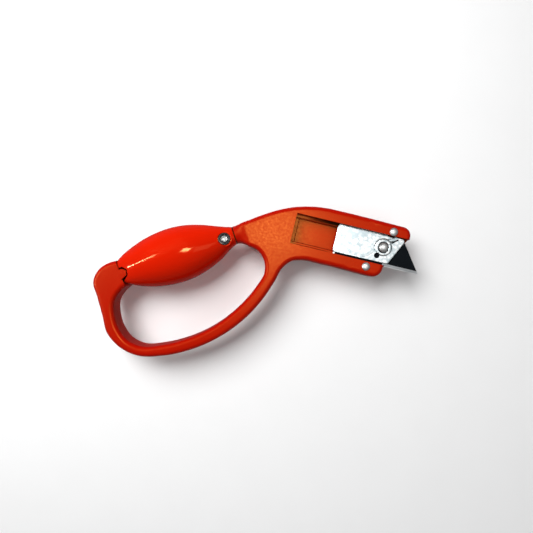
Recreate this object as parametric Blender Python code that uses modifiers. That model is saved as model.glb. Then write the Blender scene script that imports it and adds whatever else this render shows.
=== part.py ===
"""Retractable utility knife with a closed finger guard and a spindle-shaped grip.

The tool lies on its back. The head frame has its origin on the rear wall of the blade channel,
+X along the blade's slide towards the tip, +Y towards the tool's back and z = 0 in the mid-plane
of the frame. Everything hangs from one empty, which sets the whole tool on the ground.
"""

import math

import bmesh
import bpy
from mathutils import Matrix, Vector

MM = 0.001
GAP = 0.3  # clearance between pieces that touch, mm

# Place of the head frame in the world, mm
HEAD_X = 17.2
HEAD_Y = 45.45

# Frame, mm
FRAME_HALF = 8.25
FRAME_RIM = 3.0
OUTLINE_STEP = 3.6
NECK_LENGTH = 9.0

# Grip, mm and degrees: its own frame starts at the rear joint and runs to the front joint
GRIP_REAR = (-108.0, -56.7)
GRIP_ANGLE = 31.1
GRIP_LENGTH = 81.5
GRIP_REAR_SLANT = 0.065  # the rear joint leans back by this much for each mm across
GRIP_CONTROL_RADII = (8.5, 20.1, 18.3, 26.1, 11.7, 7.0)
GRIP_FLATNESS = 0.9
GRIP_RISE = 1.6  # the lower side of the grip comes up by this much before the front joint
GRIP_RISE_FROM = 66.0
GRIP_RISE_TO = 79.0
GRIP_WALL = 2.0
GRIP_REAR_SQUARENESS = 3.4
GRIP_REAR_BLEND = 14.0
GRIP_SLANT_FADE = 25.0
SPINE_HALF = 2.0
SPINE_INSET = 3.0
TAB_TOP = 8.0
TAB_GAP = 1.0

# Grip screw, in the grip's frame, mm
SCREW_T = 74.5
SCREW_W = 0.0
SCREW_RADIUS = 1.5
SCREW_HEAD_RADIUS = 2.7
SCREW_SEAT = 4.6
WASHER_RADIUS = 4.0
BOSS_RADIUS = 5.2
NUT_RADIUS = 3.1
NUT_SEAT = -5.0

# Blade channel, mm
CHANNEL_UP = 10.6
CHANNEL_DOWN = -10.5
GROOVE_UP = 12.5
GROOVE_DOWN = -12.9
GROOVE_ROOF = 4.0
LEDGE_Z = 2.6
LEDGE_EDGE = 8.25
LIP_FLOOR = 1.3
UNDERCUT_EDGE = 9.9
EDGE_SLOT_DOWN = -11.8  # slot in the lower arm in which the blade's edge runs
FLOOR_Z = -0.6
TRAVEL = 29.0

# Carrier stack, bottom to top, mm
PLATE_Z = (2.9, 3.7)
BACK_LEAF_Z = (4.0, 4.7)
BLADE_Z = (5.0, 5.6)
FRONT_LEAF_Z = (5.9, 6.7)
PAD_Z = 7.0
RING_Z = 7.3
LOCK_LEAF_Z = (1.8, 2.3)
CARRIER_REAR = 29.3

# Thumb button and the holes round it, mm
BUTTON = (62.7, 1.5)
BUTTON_RADIUS = 3.3
BUTTON_WELL = 3.9
BUTTON_SKIRT_Z = 7.0
BUTTON_TOP_Z = 9.7
BUTTON_STEM = 1.2
RING_RADIUS = 6.2
DRAIN_HOLE = (59.5, -4.9)
DRAIN_RADIUS = 1.9

# Blade, mm
BLADE_LENGTH = 60.0
BLADE_WIDTH = 19.0
BLADE_INSET = 14.0
BLADE_BEVEL = 2.2
BLADE_LEFT = 30.6
BLADE_EDGE_Y = -11.2
BLADE_SLOT = 1.8
BLADE_SLOT_WIDTH = 3.6
SPARE_LEFT = 8.6
SPARE_EDGE_Y = -8.0

# Stop rivets, mm
UPPER_RIVET = (66.7, 13.2)
LOWER_RIVET = (53.7, -14.0)
RIVET_HEAD = 2.8
RIVET_SHANK = 2.0


# ---------------------------------------------------------------- scene and materials

def clear_scene():
    for thing in list(bpy.data.objects):
        bpy.data.objects.remove(thing, do_unlink=True)


def new_collection(name):
    collection = bpy.data.collections.new(name)
    bpy.context.scene.collection.children.link(collection)
    return collection


def new_material(name, colour, metallic, roughness):
    material = bpy.data.materials.new(name)
    material.use_nodes = True
    shader = material.node_tree.nodes["Principled BSDF"]
    shader.inputs["Base Color"].default_value = (*colour, 1.0)
    shader.inputs["Metallic"].default_value = metallic
    shader.inputs["Roughness"].default_value = roughness
    return material


def new_empty(name, parent=None, location=(0.0, 0.0, 0.0), angle=0.0):
    """An empty at a place given in millimetres, turned about Z by an angle in degrees."""
    empty = bpy.data.objects.new(name, None)
    parts.objects.link(empty)
    empty.parent = parent
    empty.location = [value * MM for value in location]
    empty.rotation_euler = (0.0, 0.0, math.radians(angle))
    return empty


def link(thing, parent, material=None, location=(0.0, 0.0, 0.0)):
    """Puts a piece in the collection of parts, under its parent and in its material."""
    parts.objects.link(thing)
    thing.parent = parent
    thing.location = [value * MM for value in location]
    if material is not None:
        thing.data.materials.clear()
        thing.data.materials.append(material)
    return thing


def hide_as_cutter(thing, parent):
    cutters.objects.link(thing)
    thing.parent = parent
    thing.hide_render = True
    thing.display_type = "WIRE"
    return thing


def boolean(piece, tool, operation):
    modifier = piece.modifiers.new(f"{operation.lower()}_{tool.name}", "BOOLEAN")
    modifier.object = tool
    modifier.operation = operation
    modifier.solver = "EXACT"


def cut(piece, tool, parent):
    boolean(piece, hide_as_cutter(tool, parent), "DIFFERENCE")


def join(piece, tool, parent):
    boolean(piece, hide_as_cutter(tool, parent), "UNION")


# ---------------------------------------------------------------- outlines

def fillet(before, corner, after, radius):
    """Points of the arc that rounds a corner of an outline."""
    arm_in = (before - corner).normalized()
    arm_out = (after - corner).normalized()
    half = arm_in.angle(arm_out) / 2
    centre = corner + (arm_in + arm_out).normalized() * radius / math.sin(half)
    spoke = corner + arm_in * radius / math.tan(half) - centre
    turn = math.copysign(math.pi - 2 * half, -arm_in.cross(arm_out))
    steps = max(2, math.ceil(abs(turn) / math.radians(18)))
    return [centre + Matrix.Rotation(turn * k / steps, 2) @ spoke for k in range(steps + 1)]


def smooth_direction(before, here, after):
    """Direction of a smooth curve through the middle one of three points."""
    step_in = here - before
    step_out = after - here
    weight_in = step_out.length / step_in.length
    return (step_in * weight_in + step_out / weight_in).normalized()


def hermite(start, start_direction, end, end_direction):
    """Inner points of a smooth curve between two points with given directions."""
    reach = (end - start).length
    steps = max(1, round(reach / OUTLINE_STEP))
    points = []
    for k in range(1, steps):
        s = k / steps
        points.append(start * (2 * s**3 - 3 * s**2 + 1) + start_direction * reach * (s**3 - 2 * s**2 + s)
                      + end * (3 * s**2 - 2 * s**3) + end_direction * reach * (s**3 - s**2))
    return points


def traced(knots):
    """Closed outline through knots: (x, y) is passed smoothly, (x, y, radius) is a rounded corner."""
    spots = [Vector(knot[:2]) for knot in knots]
    count = len(knots)
    stations = []
    for i, knot in enumerate(knots):
        before = spots[i - 1]
        here = spots[i]
        after = spots[(i + 1) % count]
        if len(knot) == 2:
            direction = smooth_direction(before, here, after)
            stations.append(([here], direction, direction))
        else:
            arc = fillet(before, here, after, knot[2]) if knot[2] > 0 else [here]
            stations.append((arc, (here - before).normalized(), (after - here).normalized()))
    points = []
    for i, (arc, _, leaving) in enumerate(stations):
        next_arc, arriving, _ = stations[(i + 1) % count]
        points.extend(arc)
        if len(knots[i]) == 2 or len(knots[(i + 1) % count]) == 2:
            points.extend(hermite(arc[-1], leaving, next_arc[0], arriving))
    return points


def circle(centre, radius, sides=32):
    turns = [2 * math.pi * k / sides for k in range(sides)]
    return [Vector((centre[0] + radius * math.cos(a), centre[1] + radius * math.sin(a))) for a in turns]


def rectangle(left, right, low, high):
    return [Vector((left, low)), Vector((right, low)), Vector((right, high)), Vector((left, high))]


def rounded_slot(start, end, width):
    """Outline of a slot with round ends between two centres."""
    along = (Vector(end) - Vector(start)).normalized()
    side = Vector((-along.y, along.x)) * width / 2
    points = []
    for centre, first in ((Vector(end), -side), (Vector(start), side)):
        points.extend(centre + Matrix.Rotation(math.pi * k / 8, 2) @ first for k in range(9))
    return points


# ---------------------------------------------------------------- solids

def plate(name, loops, low, high, rim=0.0):
    """A flat piece between two heights, from closed loops in mm. Its long edges can be rounded."""
    curve = bpy.data.curves.new(name, "CURVE")
    curve.dimensions = "2D"
    curve.fill_mode = "BOTH"
    curve.extrude = ((high - low) / 2 - rim) * MM
    curve.bevel_depth = rim * MM
    curve.bevel_resolution = 2
    curve.offset = -rim * MM
    for loop in loops:
        spline = curve.splines.new("POLY")
        spline.points.add(len(loop) - 1)
        spline.use_cyclic_u = True
        for point, spot in zip(spline.points, loop):
            point.co = (spot[0] * MM, spot[1] * MM, 0.0, 1.0)
    source = bpy.data.objects.new(name + "_curve", curve)
    bpy.context.scene.collection.objects.link(source)
    evaluated = source.evaluated_get(bpy.context.evaluated_depsgraph_get())
    mesh = bpy.data.meshes.new_from_object(evaluated)
    mesh.name = name
    bpy.data.objects.remove(source, do_unlink=True)
    bm = bmesh.new()
    bm.from_mesh(mesh)
    bmesh.ops.remove_doubles(bm, verts=bm.verts, dist=0.00001)
    bmesh.ops.translate(bm, verts=bm.verts, vec=(0.0, 0.0, (low + high) / 2 * MM))
    bmesh.ops.recalc_face_normals(bm, faces=bm.faces)
    bm.to_mesh(mesh)
    bm.free()
    return bpy.data.objects.new(name, mesh)


def block(name, low, high):
    """A box between two corners in mm."""
    bm = bmesh.new()
    bmesh.ops.create_cube(bm, size=1.0)
    for vert in bm.verts:
        for axis in range(3):
            vert.co[axis] = (low[axis] if vert.co[axis] < 0 else high[axis]) * MM
    mesh = bpy.data.meshes.new(name)
    bm.to_mesh(mesh)
    bm.free()
    return bpy.data.objects.new(name, mesh)


def rod(name, centre, radius, low, high, sides=32):
    """An upright cylinder, or a prism with few sides, about a centre in mm."""
    bm = bmesh.new()
    bmesh.ops.create_cone(bm, cap_ends=True, segments=sides, radius1=radius * MM, radius2=radius * MM,
                          depth=(high - low) * MM)
    bmesh.ops.translate(bm, verts=bm.verts,
                        vec=(centre[0] * MM, centre[1] * MM, (low + high) / 2 * MM))
    mesh = bpy.data.meshes.new(name)
    bm.to_mesh(mesh)
    bm.free()
    return bpy.data.objects.new(name, mesh)


def turned(name, profile, sides=32, ring=False):
    """A piece turned about Z from a profile of (radius, height) in mm, outer side top to bottom."""
    mesh = bpy.data.meshes.new(name)
    spots = [(radius * MM, 0.0, height * MM) for radius, height in profile]
    edges = [(i, i + 1) for i in range(len(spots) - 1)]
    if ring:
        edges.append((len(spots) - 1, 0))
    mesh.from_pydata(spots, edges, [])
    piece = bpy.data.objects.new(name, mesh)
    screw = piece.modifiers.new("turn", "SCREW")
    screw.steps = sides
    screw.render_steps = sides
    screw.use_merge_vertices = True
    screw.merge_threshold = 0.000001
    return piece


def smooth(piece, angle=35.0):
    piece.data.shade_smooth()
    piece.data.set_sharp_from_angle(angle=math.radians(angle))


# ---------------------------------------------------------------- guard frame

def frame_outline():
    """The whole frame in plan: head, finger guard and the two stubs that hold the grip."""
    grip_front_top = (-46.3, -10.9, 0)
    back_of_tool = [(-41.6, -8.0), (-32.2, -2.4), (-22.7, 4.1), (-12.8, 9.9), (-2.6, 14.4), (8.1, 17.3),
                    (18.9, 18.8), (30.0, 19.0)]
    arm_tips = [(79.3, 18.4, 6.0), (79.3, 10.9, 0), (65.9, -11.6, 0), (65.4, -19.9, 7.0)]
    under_head = [(24.0, -19.3), (11.0, -19.8), (3.9, -22.4), (-1.1, -28.5), (-3.8, -37.7)]
    outer_guard = [(-9.0, -52.0), (-16.8, -66.3), (-29.4, -81.9), (-48.5, -97.1), (-66.9, -106.0),
                   (-84.7, -109.9), (-98.0, -106.6), (-107.7, -99.4), (-113.4, -88.7), (-119.7, -77.3),
                   (-125.0, -67.2), (-122.9, -58.1), (-117.0, -52.2), (-112.3, -49.5)]
    grip_rear = [(-109.1, -46.2, 0), (-98.5, -62.0, 0)]
    inner_guard = [(-101.7, -64.8), (-105.4, -70.1), (-107.6, -77.5), (-105.4, -86.3), (-100.0, -95.2),
                   (-92.9, -101.0), (-84.0, -103.0), (-68.7, -98.7), (-53.0, -90.4), (-38.2, -78.8),
                   (-24.6, -62.3), (-15.4, -44.7), (-12.3, -34.0), (-14.3, -26.6), (-20.9, -20.3),
                   (-29.3, -19.5), (-34.8, -20.9)]
    grip_front_bottom = (-38.9, -23.2, 0)
    return traced([grip_front_top, *back_of_tool, *arm_tips, *under_head, *outer_guard, *grip_rear,
                   *inner_guard, grip_front_bottom])


def round_the_neck(mesh):
    """Blends the frame's section into the grip's oval one where the two meet at the front joint."""
    turn = Matrix.Rotation(math.radians(GRIP_ANGLE), 3, "Z")
    along = turn @ Vector((1.0, 0.0, 0.0))
    side = turn @ Vector((0.0, 1.0, 0.0))
    rear = Vector((GRIP_REAR[0], GRIP_REAR[1], 0.0)) * MM
    joint = rear + along * GRIP_LENGTH * MM
    bm = bmesh.new()
    bm.from_mesh(mesh)
    distances = (-1.5, 0.8, 2.2, 3.6, 5.0, 6.5, 7.8, 9.0)
    slices = [(joint + along * distance * MM, along) for distance in distances]
    slices += [(joint + side * offset * MM, side) for offset in (-4.5, -3.0, -1.5, 0.0, 1.5, 3.0, 4.5)]
    upright = Vector((0.0, 0.0, 1.0))
    slices += [(joint + upright * height * MM, upright) for height in (-3.6, -1.8, 0.0, 1.8, 3.6)]
    for spot, normal in slices:
        near = [face for face in bm.faces
                if (face.calc_center_median() - joint).length < 2.2 * NECK_LENGTH * MM
                or min((vert.co - joint).length for vert in face.verts) < 1.6 * NECK_LENGTH * MM]
        pieces = near + list({edge for face in near for edge in face.edges})
        pieces += list({vert for face in near for vert in face.verts})
        bmesh.ops.bisect_plane(bm, geom=pieces, plane_co=spot, plane_no=normal, dist=0.0000001)
    upper, lower = grip_radius(GRIP_LENGTH), grip_low(GRIP_LENGTH)
    oval = Vector(((upper + lower) / 2, upper * GRIP_FLATNESS + 0.4))
    middle = (upper - lower) / 2
    for vert in bm.verts:
        away = vert.co - joint
        distance = away.dot(along) / MM
        if not -7.0 < distance < NECK_LENGTH or (away - along * distance * MM).length > 16.0 * MM:
            continue
        centre = joint + along * distance * MM
        across = Vector((away.dot(side) / MM - middle, away.z / MM))
        if across.length < 0.001:
            continue
        blend = 1.0 - max(0.0, distance) / NECK_LENGTH
        blend = blend * blend * (3.0 - 2.0 * blend)
        reach = 1.0 / Vector((across.x / oval.x, across.y / oval.y)).length
        wanted = across * ((1.0 - blend) + blend * reach)
        vert.co = centre + side * (wanted.x + middle) * MM + upright * wanted.y * MM
    bmesh.ops.recalc_face_normals(bm, faces=bm.faces)
    bm.to_mesh(mesh)
    bm.free()


def cut_channel(frame):
    """The stepped blade channel, run from the rear wall out past the arms' tips."""
    end = 95.0
    slots = {
        "opening": (CHANNEL_DOWN, CHANNEL_UP, LEDGE_Z + 0.4, 12.0),
        "flange_groove": (GROOVE_DOWN, GROOVE_UP, LEDGE_Z, GROOVE_ROOF),
        "middle": (-LEDGE_EDGE, LEDGE_EDGE, LIP_FLOOR - 0.4, LEDGE_Z + 0.2),
        "undercut": (-UNDERCUT_EDGE, UNDERCUT_EDGE, FLOOR_Z, LIP_FLOOR),
        "edge_slot": (EDGE_SLOT_DOWN, 0.0, BLADE_Z[0] - GAP, BLADE_Z[1] + GAP),
    }
    for name, (low_y, high_y, low, high) in slots.items():
        cut(frame, block(f"{name}_cutter", (0.0, low_y, low), (end, high_y, high)), head)


def spine_outline():
    """The flat spine inside the grip, which follows the hollow and runs on into both stubs."""
    stations = [GRIP_LENGTH * k / 10 for k in range(11)]
    sides = []
    for sign, reach in ((1.0, grip_radius), (-1.0, grip_low)):
        edge = [Vector((t, sign * (reach(t) - SPINE_INSET))) for t in stations]
        sides.append([Vector((-5.0, edge[0].y)), *edge, Vector((GRIP_LENGTH + 5.0, edge[-1].y))])
    return [*sides[0], *reversed(sides[1])]


def tab_outline(gap=0.0):
    """The rear locating tab, or with a gap the notch that fits round it."""
    return [Vector((-4.5, -5.0 - gap)), Vector((0.9 + gap * 0.4, -5.0 - gap)),
            Vector((4.2 + gap, -3.3 - gap * 0.4)), Vector((4.6 + gap, -0.2 + gap * 0.3)),
            Vector((2.4 + gap * 0.4, 1.5 + gap)), Vector((-4.5, 1.5 + gap))]


def make_frame(material):
    frame = plate("guard_frame", [frame_outline()], -FRAME_HALF, FRAME_HALF, FRAME_RIM)
    round_the_neck(frame.data)
    smooth(frame)
    link(frame, head, material)
    cut_channel(frame)
    for name, u in (("forward_notch_cutter", BUTTON[0]), ("retracted_notch_cutter", BUTTON[0] - TRAVEL)):
        cut(frame, block(name, (u - 2.4, -UNDERCUT_EDGE, 0.0), (u + 2.4, UNDERCUT_EDGE, 2.9)), head)
    for name, spot in (("upper_rivet_hole_cutter", UPPER_RIVET), ("lower_rivet_hole_cutter", LOWER_RIVET)):
        cut(frame, rod(name, spot, RIVET_SHANK + GAP, -12.0, 12.0, 24), head)
    lean = 24.0 * GRIP_REAR_SLANT
    grip_gap = [Vector((lean, -24.0)), Vector((GRIP_LENGTH, -24.0)), Vector((GRIP_LENGTH, 24.0)),
                Vector((-lean, 24.0))]
    cut(frame, plate("grip_gap_cutter", [grip_gap], -20.0, 20.0), grip)
    join(frame, plate("spine_union", [spine_outline()], -SPINE_HALF, SPINE_HALF), grip)
    join(frame, plate("tab_union", [tab_outline()], -TAB_TOP, TAB_TOP), grip)
    cut(frame, rod("screw_hole_cutter", (SCREW_T, SCREW_W), SCREW_RADIUS + GAP, -10.0, 10.0), grip)
    return frame


# ---------------------------------------------------------------- grip

def grip_radius(t):
    """Half-width of the grip at a distance from the rear joint: a curve of the fifth degree."""
    s = min(max(t / GRIP_LENGTH, 0.0), 1.0)
    degree = len(GRIP_CONTROL_RADII) - 1
    return sum(math.comb(degree, i) * s**i * (1 - s)**(degree - i) * radius
               for i, radius in enumerate(GRIP_CONTROL_RADII))


def grip_low(t):
    """Half-width of the grip on its lower side, which comes up before the front joint."""
    s = min(max((t - GRIP_RISE_FROM) / (GRIP_RISE_TO - GRIP_RISE_FROM), 0.0), 1.0)
    return grip_radius(t) - GRIP_RISE * s * s * (3.0 - 2.0 * s)


def grip_spot(t, angle):
    """A point of the grip's skin. The section is a rounded square at the rear and oval further on."""
    blend = max(0.0, 1.0 - t / GRIP_REAR_BLEND)
    power = 2.0 + (GRIP_REAR_SQUARENESS - 2.0) * blend * blend
    across = -math.cos(angle)
    up = math.sin(angle)
    scale = 1.0 / (abs(across)**power + abs(up)**power)**(1.0 / power)
    width = scale * across * (grip_radius(t) if across > 0.0 else grip_low(t))
    fade = max(0.0, 1.0 - t / GRIP_SLANT_FADE)
    lean = GRIP_REAR_SLANT * width * fade * fade
    return Vector((t - lean, width, scale * up * grip_radius(t) * GRIP_FLATNESS))


def half_shell(name, sign):
    """One half of the grip as an open skin on the +Z or -Z side, thickened inwards."""
    bm = bmesh.new()
    bmesh.ops.create_grid(bm, x_segments=26, y_segments=20, size=1.0)
    for vert in bm.verts:
        t = GAP + (GRIP_LENGTH - 2 * GAP) * (vert.co.x + 1.0) / 2.0
        spot = grip_spot(t, math.pi * (vert.co.y + 1.0) / 2.0)
        vert.co = Vector((spot.x, spot.y, sign * (spot.z + GAP / 2))) * MM
    if sign < 0:
        bmesh.ops.reverse_faces(bm, faces=bm.faces)
    mesh = bpy.data.meshes.new(name)
    bm.to_mesh(mesh)
    bm.free()
    shell = bpy.data.objects.new(name, mesh)
    wall = shell.modifiers.new("wall", "SOLIDIFY")
    wall.thickness = GRIP_WALL * MM
    wall.offset = -1.0
    wall.use_even_offset = True
    low, high = (-3.0, GAP / 2) if sign > 0 else (-GAP / 2, 3.0)
    trim = block(f"{name}_rim_cutter", (-3.0, -23.0, low), (GRIP_LENGTH + 3.0, 23.0, high))
    cut(shell, trim, grip)
    return shell


def make_cover(material):
    """The front half: notched round the rear tab and bossed for the screw."""
    cover = half_shell("grip_cover", 1)
    smooth(cover, 50.0)
    link(cover, grip, material)
    join(cover, rod("cover_boss_union", (SCREW_T, SCREW_W), BOSS_RADIUS, 2.6, 7.4), grip)
    cut(cover, rod("cover_seat_cutter", (SCREW_T, SCREW_W), WASHER_RADIUS + GAP, SCREW_SEAT, 14.0), grip)
    cut(cover, rod("cover_hole_cutter", (SCREW_T, SCREW_W), SCREW_RADIUS + GAP, 1.0, 9.0, 24), grip)
    cut(cover, plate("cover_notch_cutter", [tab_outline(TAB_GAP)], -1.0, 14.0), grip)
    return cover


def make_back_shell(material):
    """The back half: the same notch, and a boss with a hexagonal pocket for the nut."""
    shell = half_shell("grip_back_shell", -1)
    smooth(shell, 50.0)
    link(shell, grip, material)
    join(shell, rod("back_boss_union", (SCREW_T, SCREW_W), BOSS_RADIUS, -7.7, -2.6), grip)
    cut(shell, rod("nut_pocket_cutter", (SCREW_T, SCREW_W), NUT_RADIUS + 0.45, -14.0, NUT_SEAT, 6), grip)
    cut(shell, rod("back_hole_cutter", (SCREW_T, SCREW_W), SCREW_RADIUS + GAP, -9.0, -1.0, 24), grip)
    cut(shell, plate("back_notch_cutter", [tab_outline(TAB_GAP)], -14.0, 1.0), grip)
    return shell


def make_screw(material):
    """Socket-head screw on its own turning axis."""
    head_low = SCREW_SEAT + 2 * GAP + 0.6
    profile = [(0.0, head_low + 2.4), (SCREW_HEAD_RADIUS - 0.4, head_low + 2.4),
               (SCREW_HEAD_RADIUS, head_low + 2.0), (SCREW_HEAD_RADIUS, head_low),
               (SCREW_RADIUS, head_low), (SCREW_RADIUS, -7.0), (SCREW_RADIUS - 0.4, -7.4), (0.0, -7.4)]
    screw = turned("grip_screw", profile)
    smooth(screw)
    link(screw, grip, material, (SCREW_T, SCREW_W, 0.0))
    cut(screw, rod("socket_cutter", (0.0, 0.0), 1.5, head_low + 0.9, 20.0, 6), screw)
    return screw


def make_washer(material):
    """Black cup washer that lines the screw's seat."""
    low = SCREW_SEAT + GAP
    washer = turned("screw_washer", [(3.2, 8.2), (WASHER_RADIUS - 0.3, 8.2), (WASHER_RADIUS, 7.9),
                                     (WASHER_RADIUS, low), (SCREW_RADIUS + GAP, low),
                                     (SCREW_RADIUS + GAP, low + 0.6), (3.2, low + 0.6)], ring=True)
    smooth(washer)
    return link(washer, grip, material, (SCREW_T, SCREW_W, 0.0))


def make_nut(material):
    nut = rod("grip_nut", (0.0, 0.0), NUT_RADIUS, NUT_SEAT - GAP - 2.2, NUT_SEAT - GAP, 6)
    link(nut, grip, material, (SCREW_T, SCREW_W, 0.0))
    cut(nut, rod("nut_hole_cutter", (0.0, 0.0), SCREW_RADIUS + GAP, -12.0, 0.0, 24), nut)
    return nut


# ---------------------------------------------------------------- blade, carrier and lock

def blade_outline(left, edge):
    """Trapezoid blade with two back notches and an oblong hole, cutting edge at the bottom."""
    top = edge + BLADE_WIDTH
    middle = left + BLADE_LENGTH / 2
    rim = [Vector((left, edge)), Vector((left + BLADE_LENGTH, edge)),
           Vector((left + BLADE_LENGTH - BLADE_INSET, top))]
    for centre in (middle + 6.4, middle - 6.4):
        rim += [Vector((centre + 1.7, top)), Vector((centre + 1.5, top - 3.0)),
                Vector((centre - 1.5, top - 3.0)), Vector((centre - 1.7, top))]
    rim.append(Vector((left + BLADE_INSET, top)))
    height = BUTTON[1] - BLADE_EDGE_Y + edge
    slot = rounded_slot((middle - BLADE_SLOT, height), (middle + BLADE_SLOT, height), BLADE_SLOT_WIDTH)
    return [rim, slot]


def grind_edge(blade, left, edge):
    """Thins the lowest strip of a blade on both faces, down to a fine flat edge."""
    mesh = blade.data
    bm = bmesh.new()
    bm.from_mesh(mesh)
    bmesh.ops.bisect_plane(bm, geom=[*bm.verts, *bm.edges, *bm.faces], dist=0.0000001,
                           plane_co=(left * MM, (edge + BLADE_BEVEL) * MM, 0.0), plane_no=(0.0, 1.0, 0.0))
    middle = sum((vert.co.z for vert in bm.verts), 0.0) / len(bm.verts)
    for vert in bm.verts:
        if vert.co.y < (edge + 0.1) * MM:
            vert.co.z = middle + (vert.co.z - middle) * 0.1
    bm.to_mesh(mesh)
    bm.free()


def make_blade(material):
    blade = plate("blade", blade_outline(BLADE_LEFT, BLADE_EDGE_Y), *BLADE_Z)
    grind_edge(blade, BLADE_LEFT, BLADE_EDGE_Y)
    return link(blade, carriage, material)


def make_spare_blades(material):
    """Spare blades lying on the spine under the cover."""
    for number in range(3):
        low = SPINE_HALF + GAP + number * 0.9
        spare = plate(f"spare_blade_{number + 1}", blade_outline(SPARE_LEFT, SPARE_EDGE_Y), low, low + 0.6)
        grind_edge(spare, SPARE_LEFT, SPARE_EDGE_Y)
        link(spare, grip, material)


def front_leaf_outline():
    return traced([(CARRIER_REAR, 9.6, 2.0), (CARRIER_REAR, -9.1, 2.0), (68.0, -9.1, 1.8), (77.1, 10.2, 1.8),
                   (69.0, 10.2, 0.5), (67.6, 8.0, 0.3), (66.6, 8.0, 0.3), (65.6, 9.6, 0.3)])


def pad_outline():
    """The raised front pad: from the top notch down beside the slit, round the ring to the low crease."""
    return traced([(69.3, 9.9, 0.5), (61.9, 5.2, 1.0), (57.4, -1.8, 1.0), (53.8, -6.0), (48.6, -8.8, 0.1),
                   (67.7, -8.8, 1.6), (76.5, 9.9, 1.6)])


def make_carrier(material):
    """Folded sheet carrier: front leaf with its pad, button well, hole and slit, fold and back leaf."""
    carrier = plate("blade_carrier", [front_leaf_outline()], *FRONT_LEAF_Z)
    link(carrier, carriage, material)
    join(carrier, plate("pad_union", [pad_outline()], FRONT_LEAF_Z[0] + 0.3, PAD_Z), carriage)
    join(carrier, rod("ring_union", BUTTON, RING_RADIUS, FRONT_LEAF_Z[0] + 0.2, RING_Z, 40), carriage)
    fold = block("fold_union", (32.0, 9.0, BACK_LEAF_Z[0] + 0.05), (65.0, 9.55, FRONT_LEAF_Z[1] - 0.05))
    join(carrier, fold, carriage)
    join(carrier, plate("back_leaf_union", [rectangle(30.0, 65.6, -8.9, 9.5)], *BACK_LEAF_Z), carriage)
    cut(carrier, rod("well_cutter", BUTTON, BUTTON_WELL, BLADE_Z[1], 12.0), carriage)
    cut(carrier, rod("stem_hole_cutter", BUTTON, BUTTON_STEM + 0.4, 3.0, BLADE_Z[1], 20), carriage)
    cut(carrier, rod("drain_cutter", DRAIN_HOLE, DRAIN_RADIUS, BLADE_Z[0] + 0.3, 12.0, 24), carriage)
    slit = rounded_slot((66.6, 4.7), (71.2, 8.6), 0.9)
    cut(carrier, plate("slit_cutter", [slit], BLADE_Z[1], 12.0), carriage)
    return carrier


def make_slide_plate(material):
    """Flat plate under the carrier. Its flanges run in the arms' grooves up to the stop rivets."""
    outline = traced([(30.6, 12.2, 0.8), (30.6, -12.6, 0.8), (51.7, -12.6, 0.8), (52.4, -9.8, 0.4),
                      (65.8, -9.8, 0.6), (70.0, 9.6, 0.6), (64.7, 9.6, 0.4), (64.7, 12.2, 0.8)])
    return link(plate("slide_plate", [outline, circle(BUTTON, 1.6, 24), circle((37.0, 0.0), 1.5, 24)],
                      *PLATE_Z), carriage, material)


def make_lock_leaf(material):
    """Lock spring: its two ears stand in the ledges' notches until the button pushes them below."""
    outline = traced([(33.4, 3.6, 1.5), (33.4, -3.6, 1.5), (60.9, -5.0, 0.8), (61.1, -9.5, 0.6),
                      (64.7, -9.5, 0.6), (65.0, -5.0, 0.5), (67.2, -3.0, 1.2), (67.2, 3.6, 1.2),
                      (65.0, 5.0, 0.5), (64.7, 9.5, 0.6), (61.1, 9.5, 0.6), (60.9, 5.0, 0.8)])
    return link(plate("lock_leaf", [outline, circle(BUTTON, 1.5, 24), circle((37.0, 0.0), 1.5, 24)],
                      *LOCK_LEAF_Z), carriage, material)


def make_leaf_rivet(material):
    """Flat rivet that fastens the rear of the lock leaf to the slide plate."""
    profile = [(0.0, 3.7), (1.2, 3.7), (1.2, LOCK_LEAF_Z[0] - GAP), (2.6, LOCK_LEAF_Z[0] - GAP),
               (2.6, 0.9), (2.2, 0.5), (0.0, 0.5)]
    rivet = turned("leaf_rivet", profile, 24)
    smooth(rivet)
    return link(rivet, carriage, material, (37.0, 0.0, 0.0))


def make_button(material):
    """Domed thumb button on a thin stem, on its own press axis."""
    rise = BUTTON_TOP_Z - BUTTON_SKIRT_Z - 0.9
    dome = [(BUTTON_RADIUS * math.sin(a), BUTTON_SKIRT_Z + 0.9 + rise * math.cos(a))
            for a in (math.radians(15 * k) for k in range(7))]
    profile = [*dome, (BUTTON_RADIUS, BUTTON_SKIRT_Z + 0.2), (BUTTON_RADIUS - 0.2, BUTTON_SKIRT_Z),
               (BUTTON_STEM, BUTTON_SKIRT_Z), (BUTTON_STEM, 2.6), (0.8, 2.6), (0.8, 0.9), (0.0, 0.9)]
    button = turned("lock_button", profile, 36)
    smooth(button)
    return link(button, carriage, material, (*BUTTON, 0.0))


def make_button_clip(material):
    """Retaining ring on the stem, under the lock leaf."""
    clip = rod("button_clip", (0.0, 0.0), 2.3, 1.0, 1.5, 24)
    link(clip, carriage, material, (*BUTTON, 0.0))
    cut(clip, rod("clip_hole_cutter", (0.0, 0.0), 0.8 + GAP, 0.0, 3.0, 24), clip)
    return clip


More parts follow.
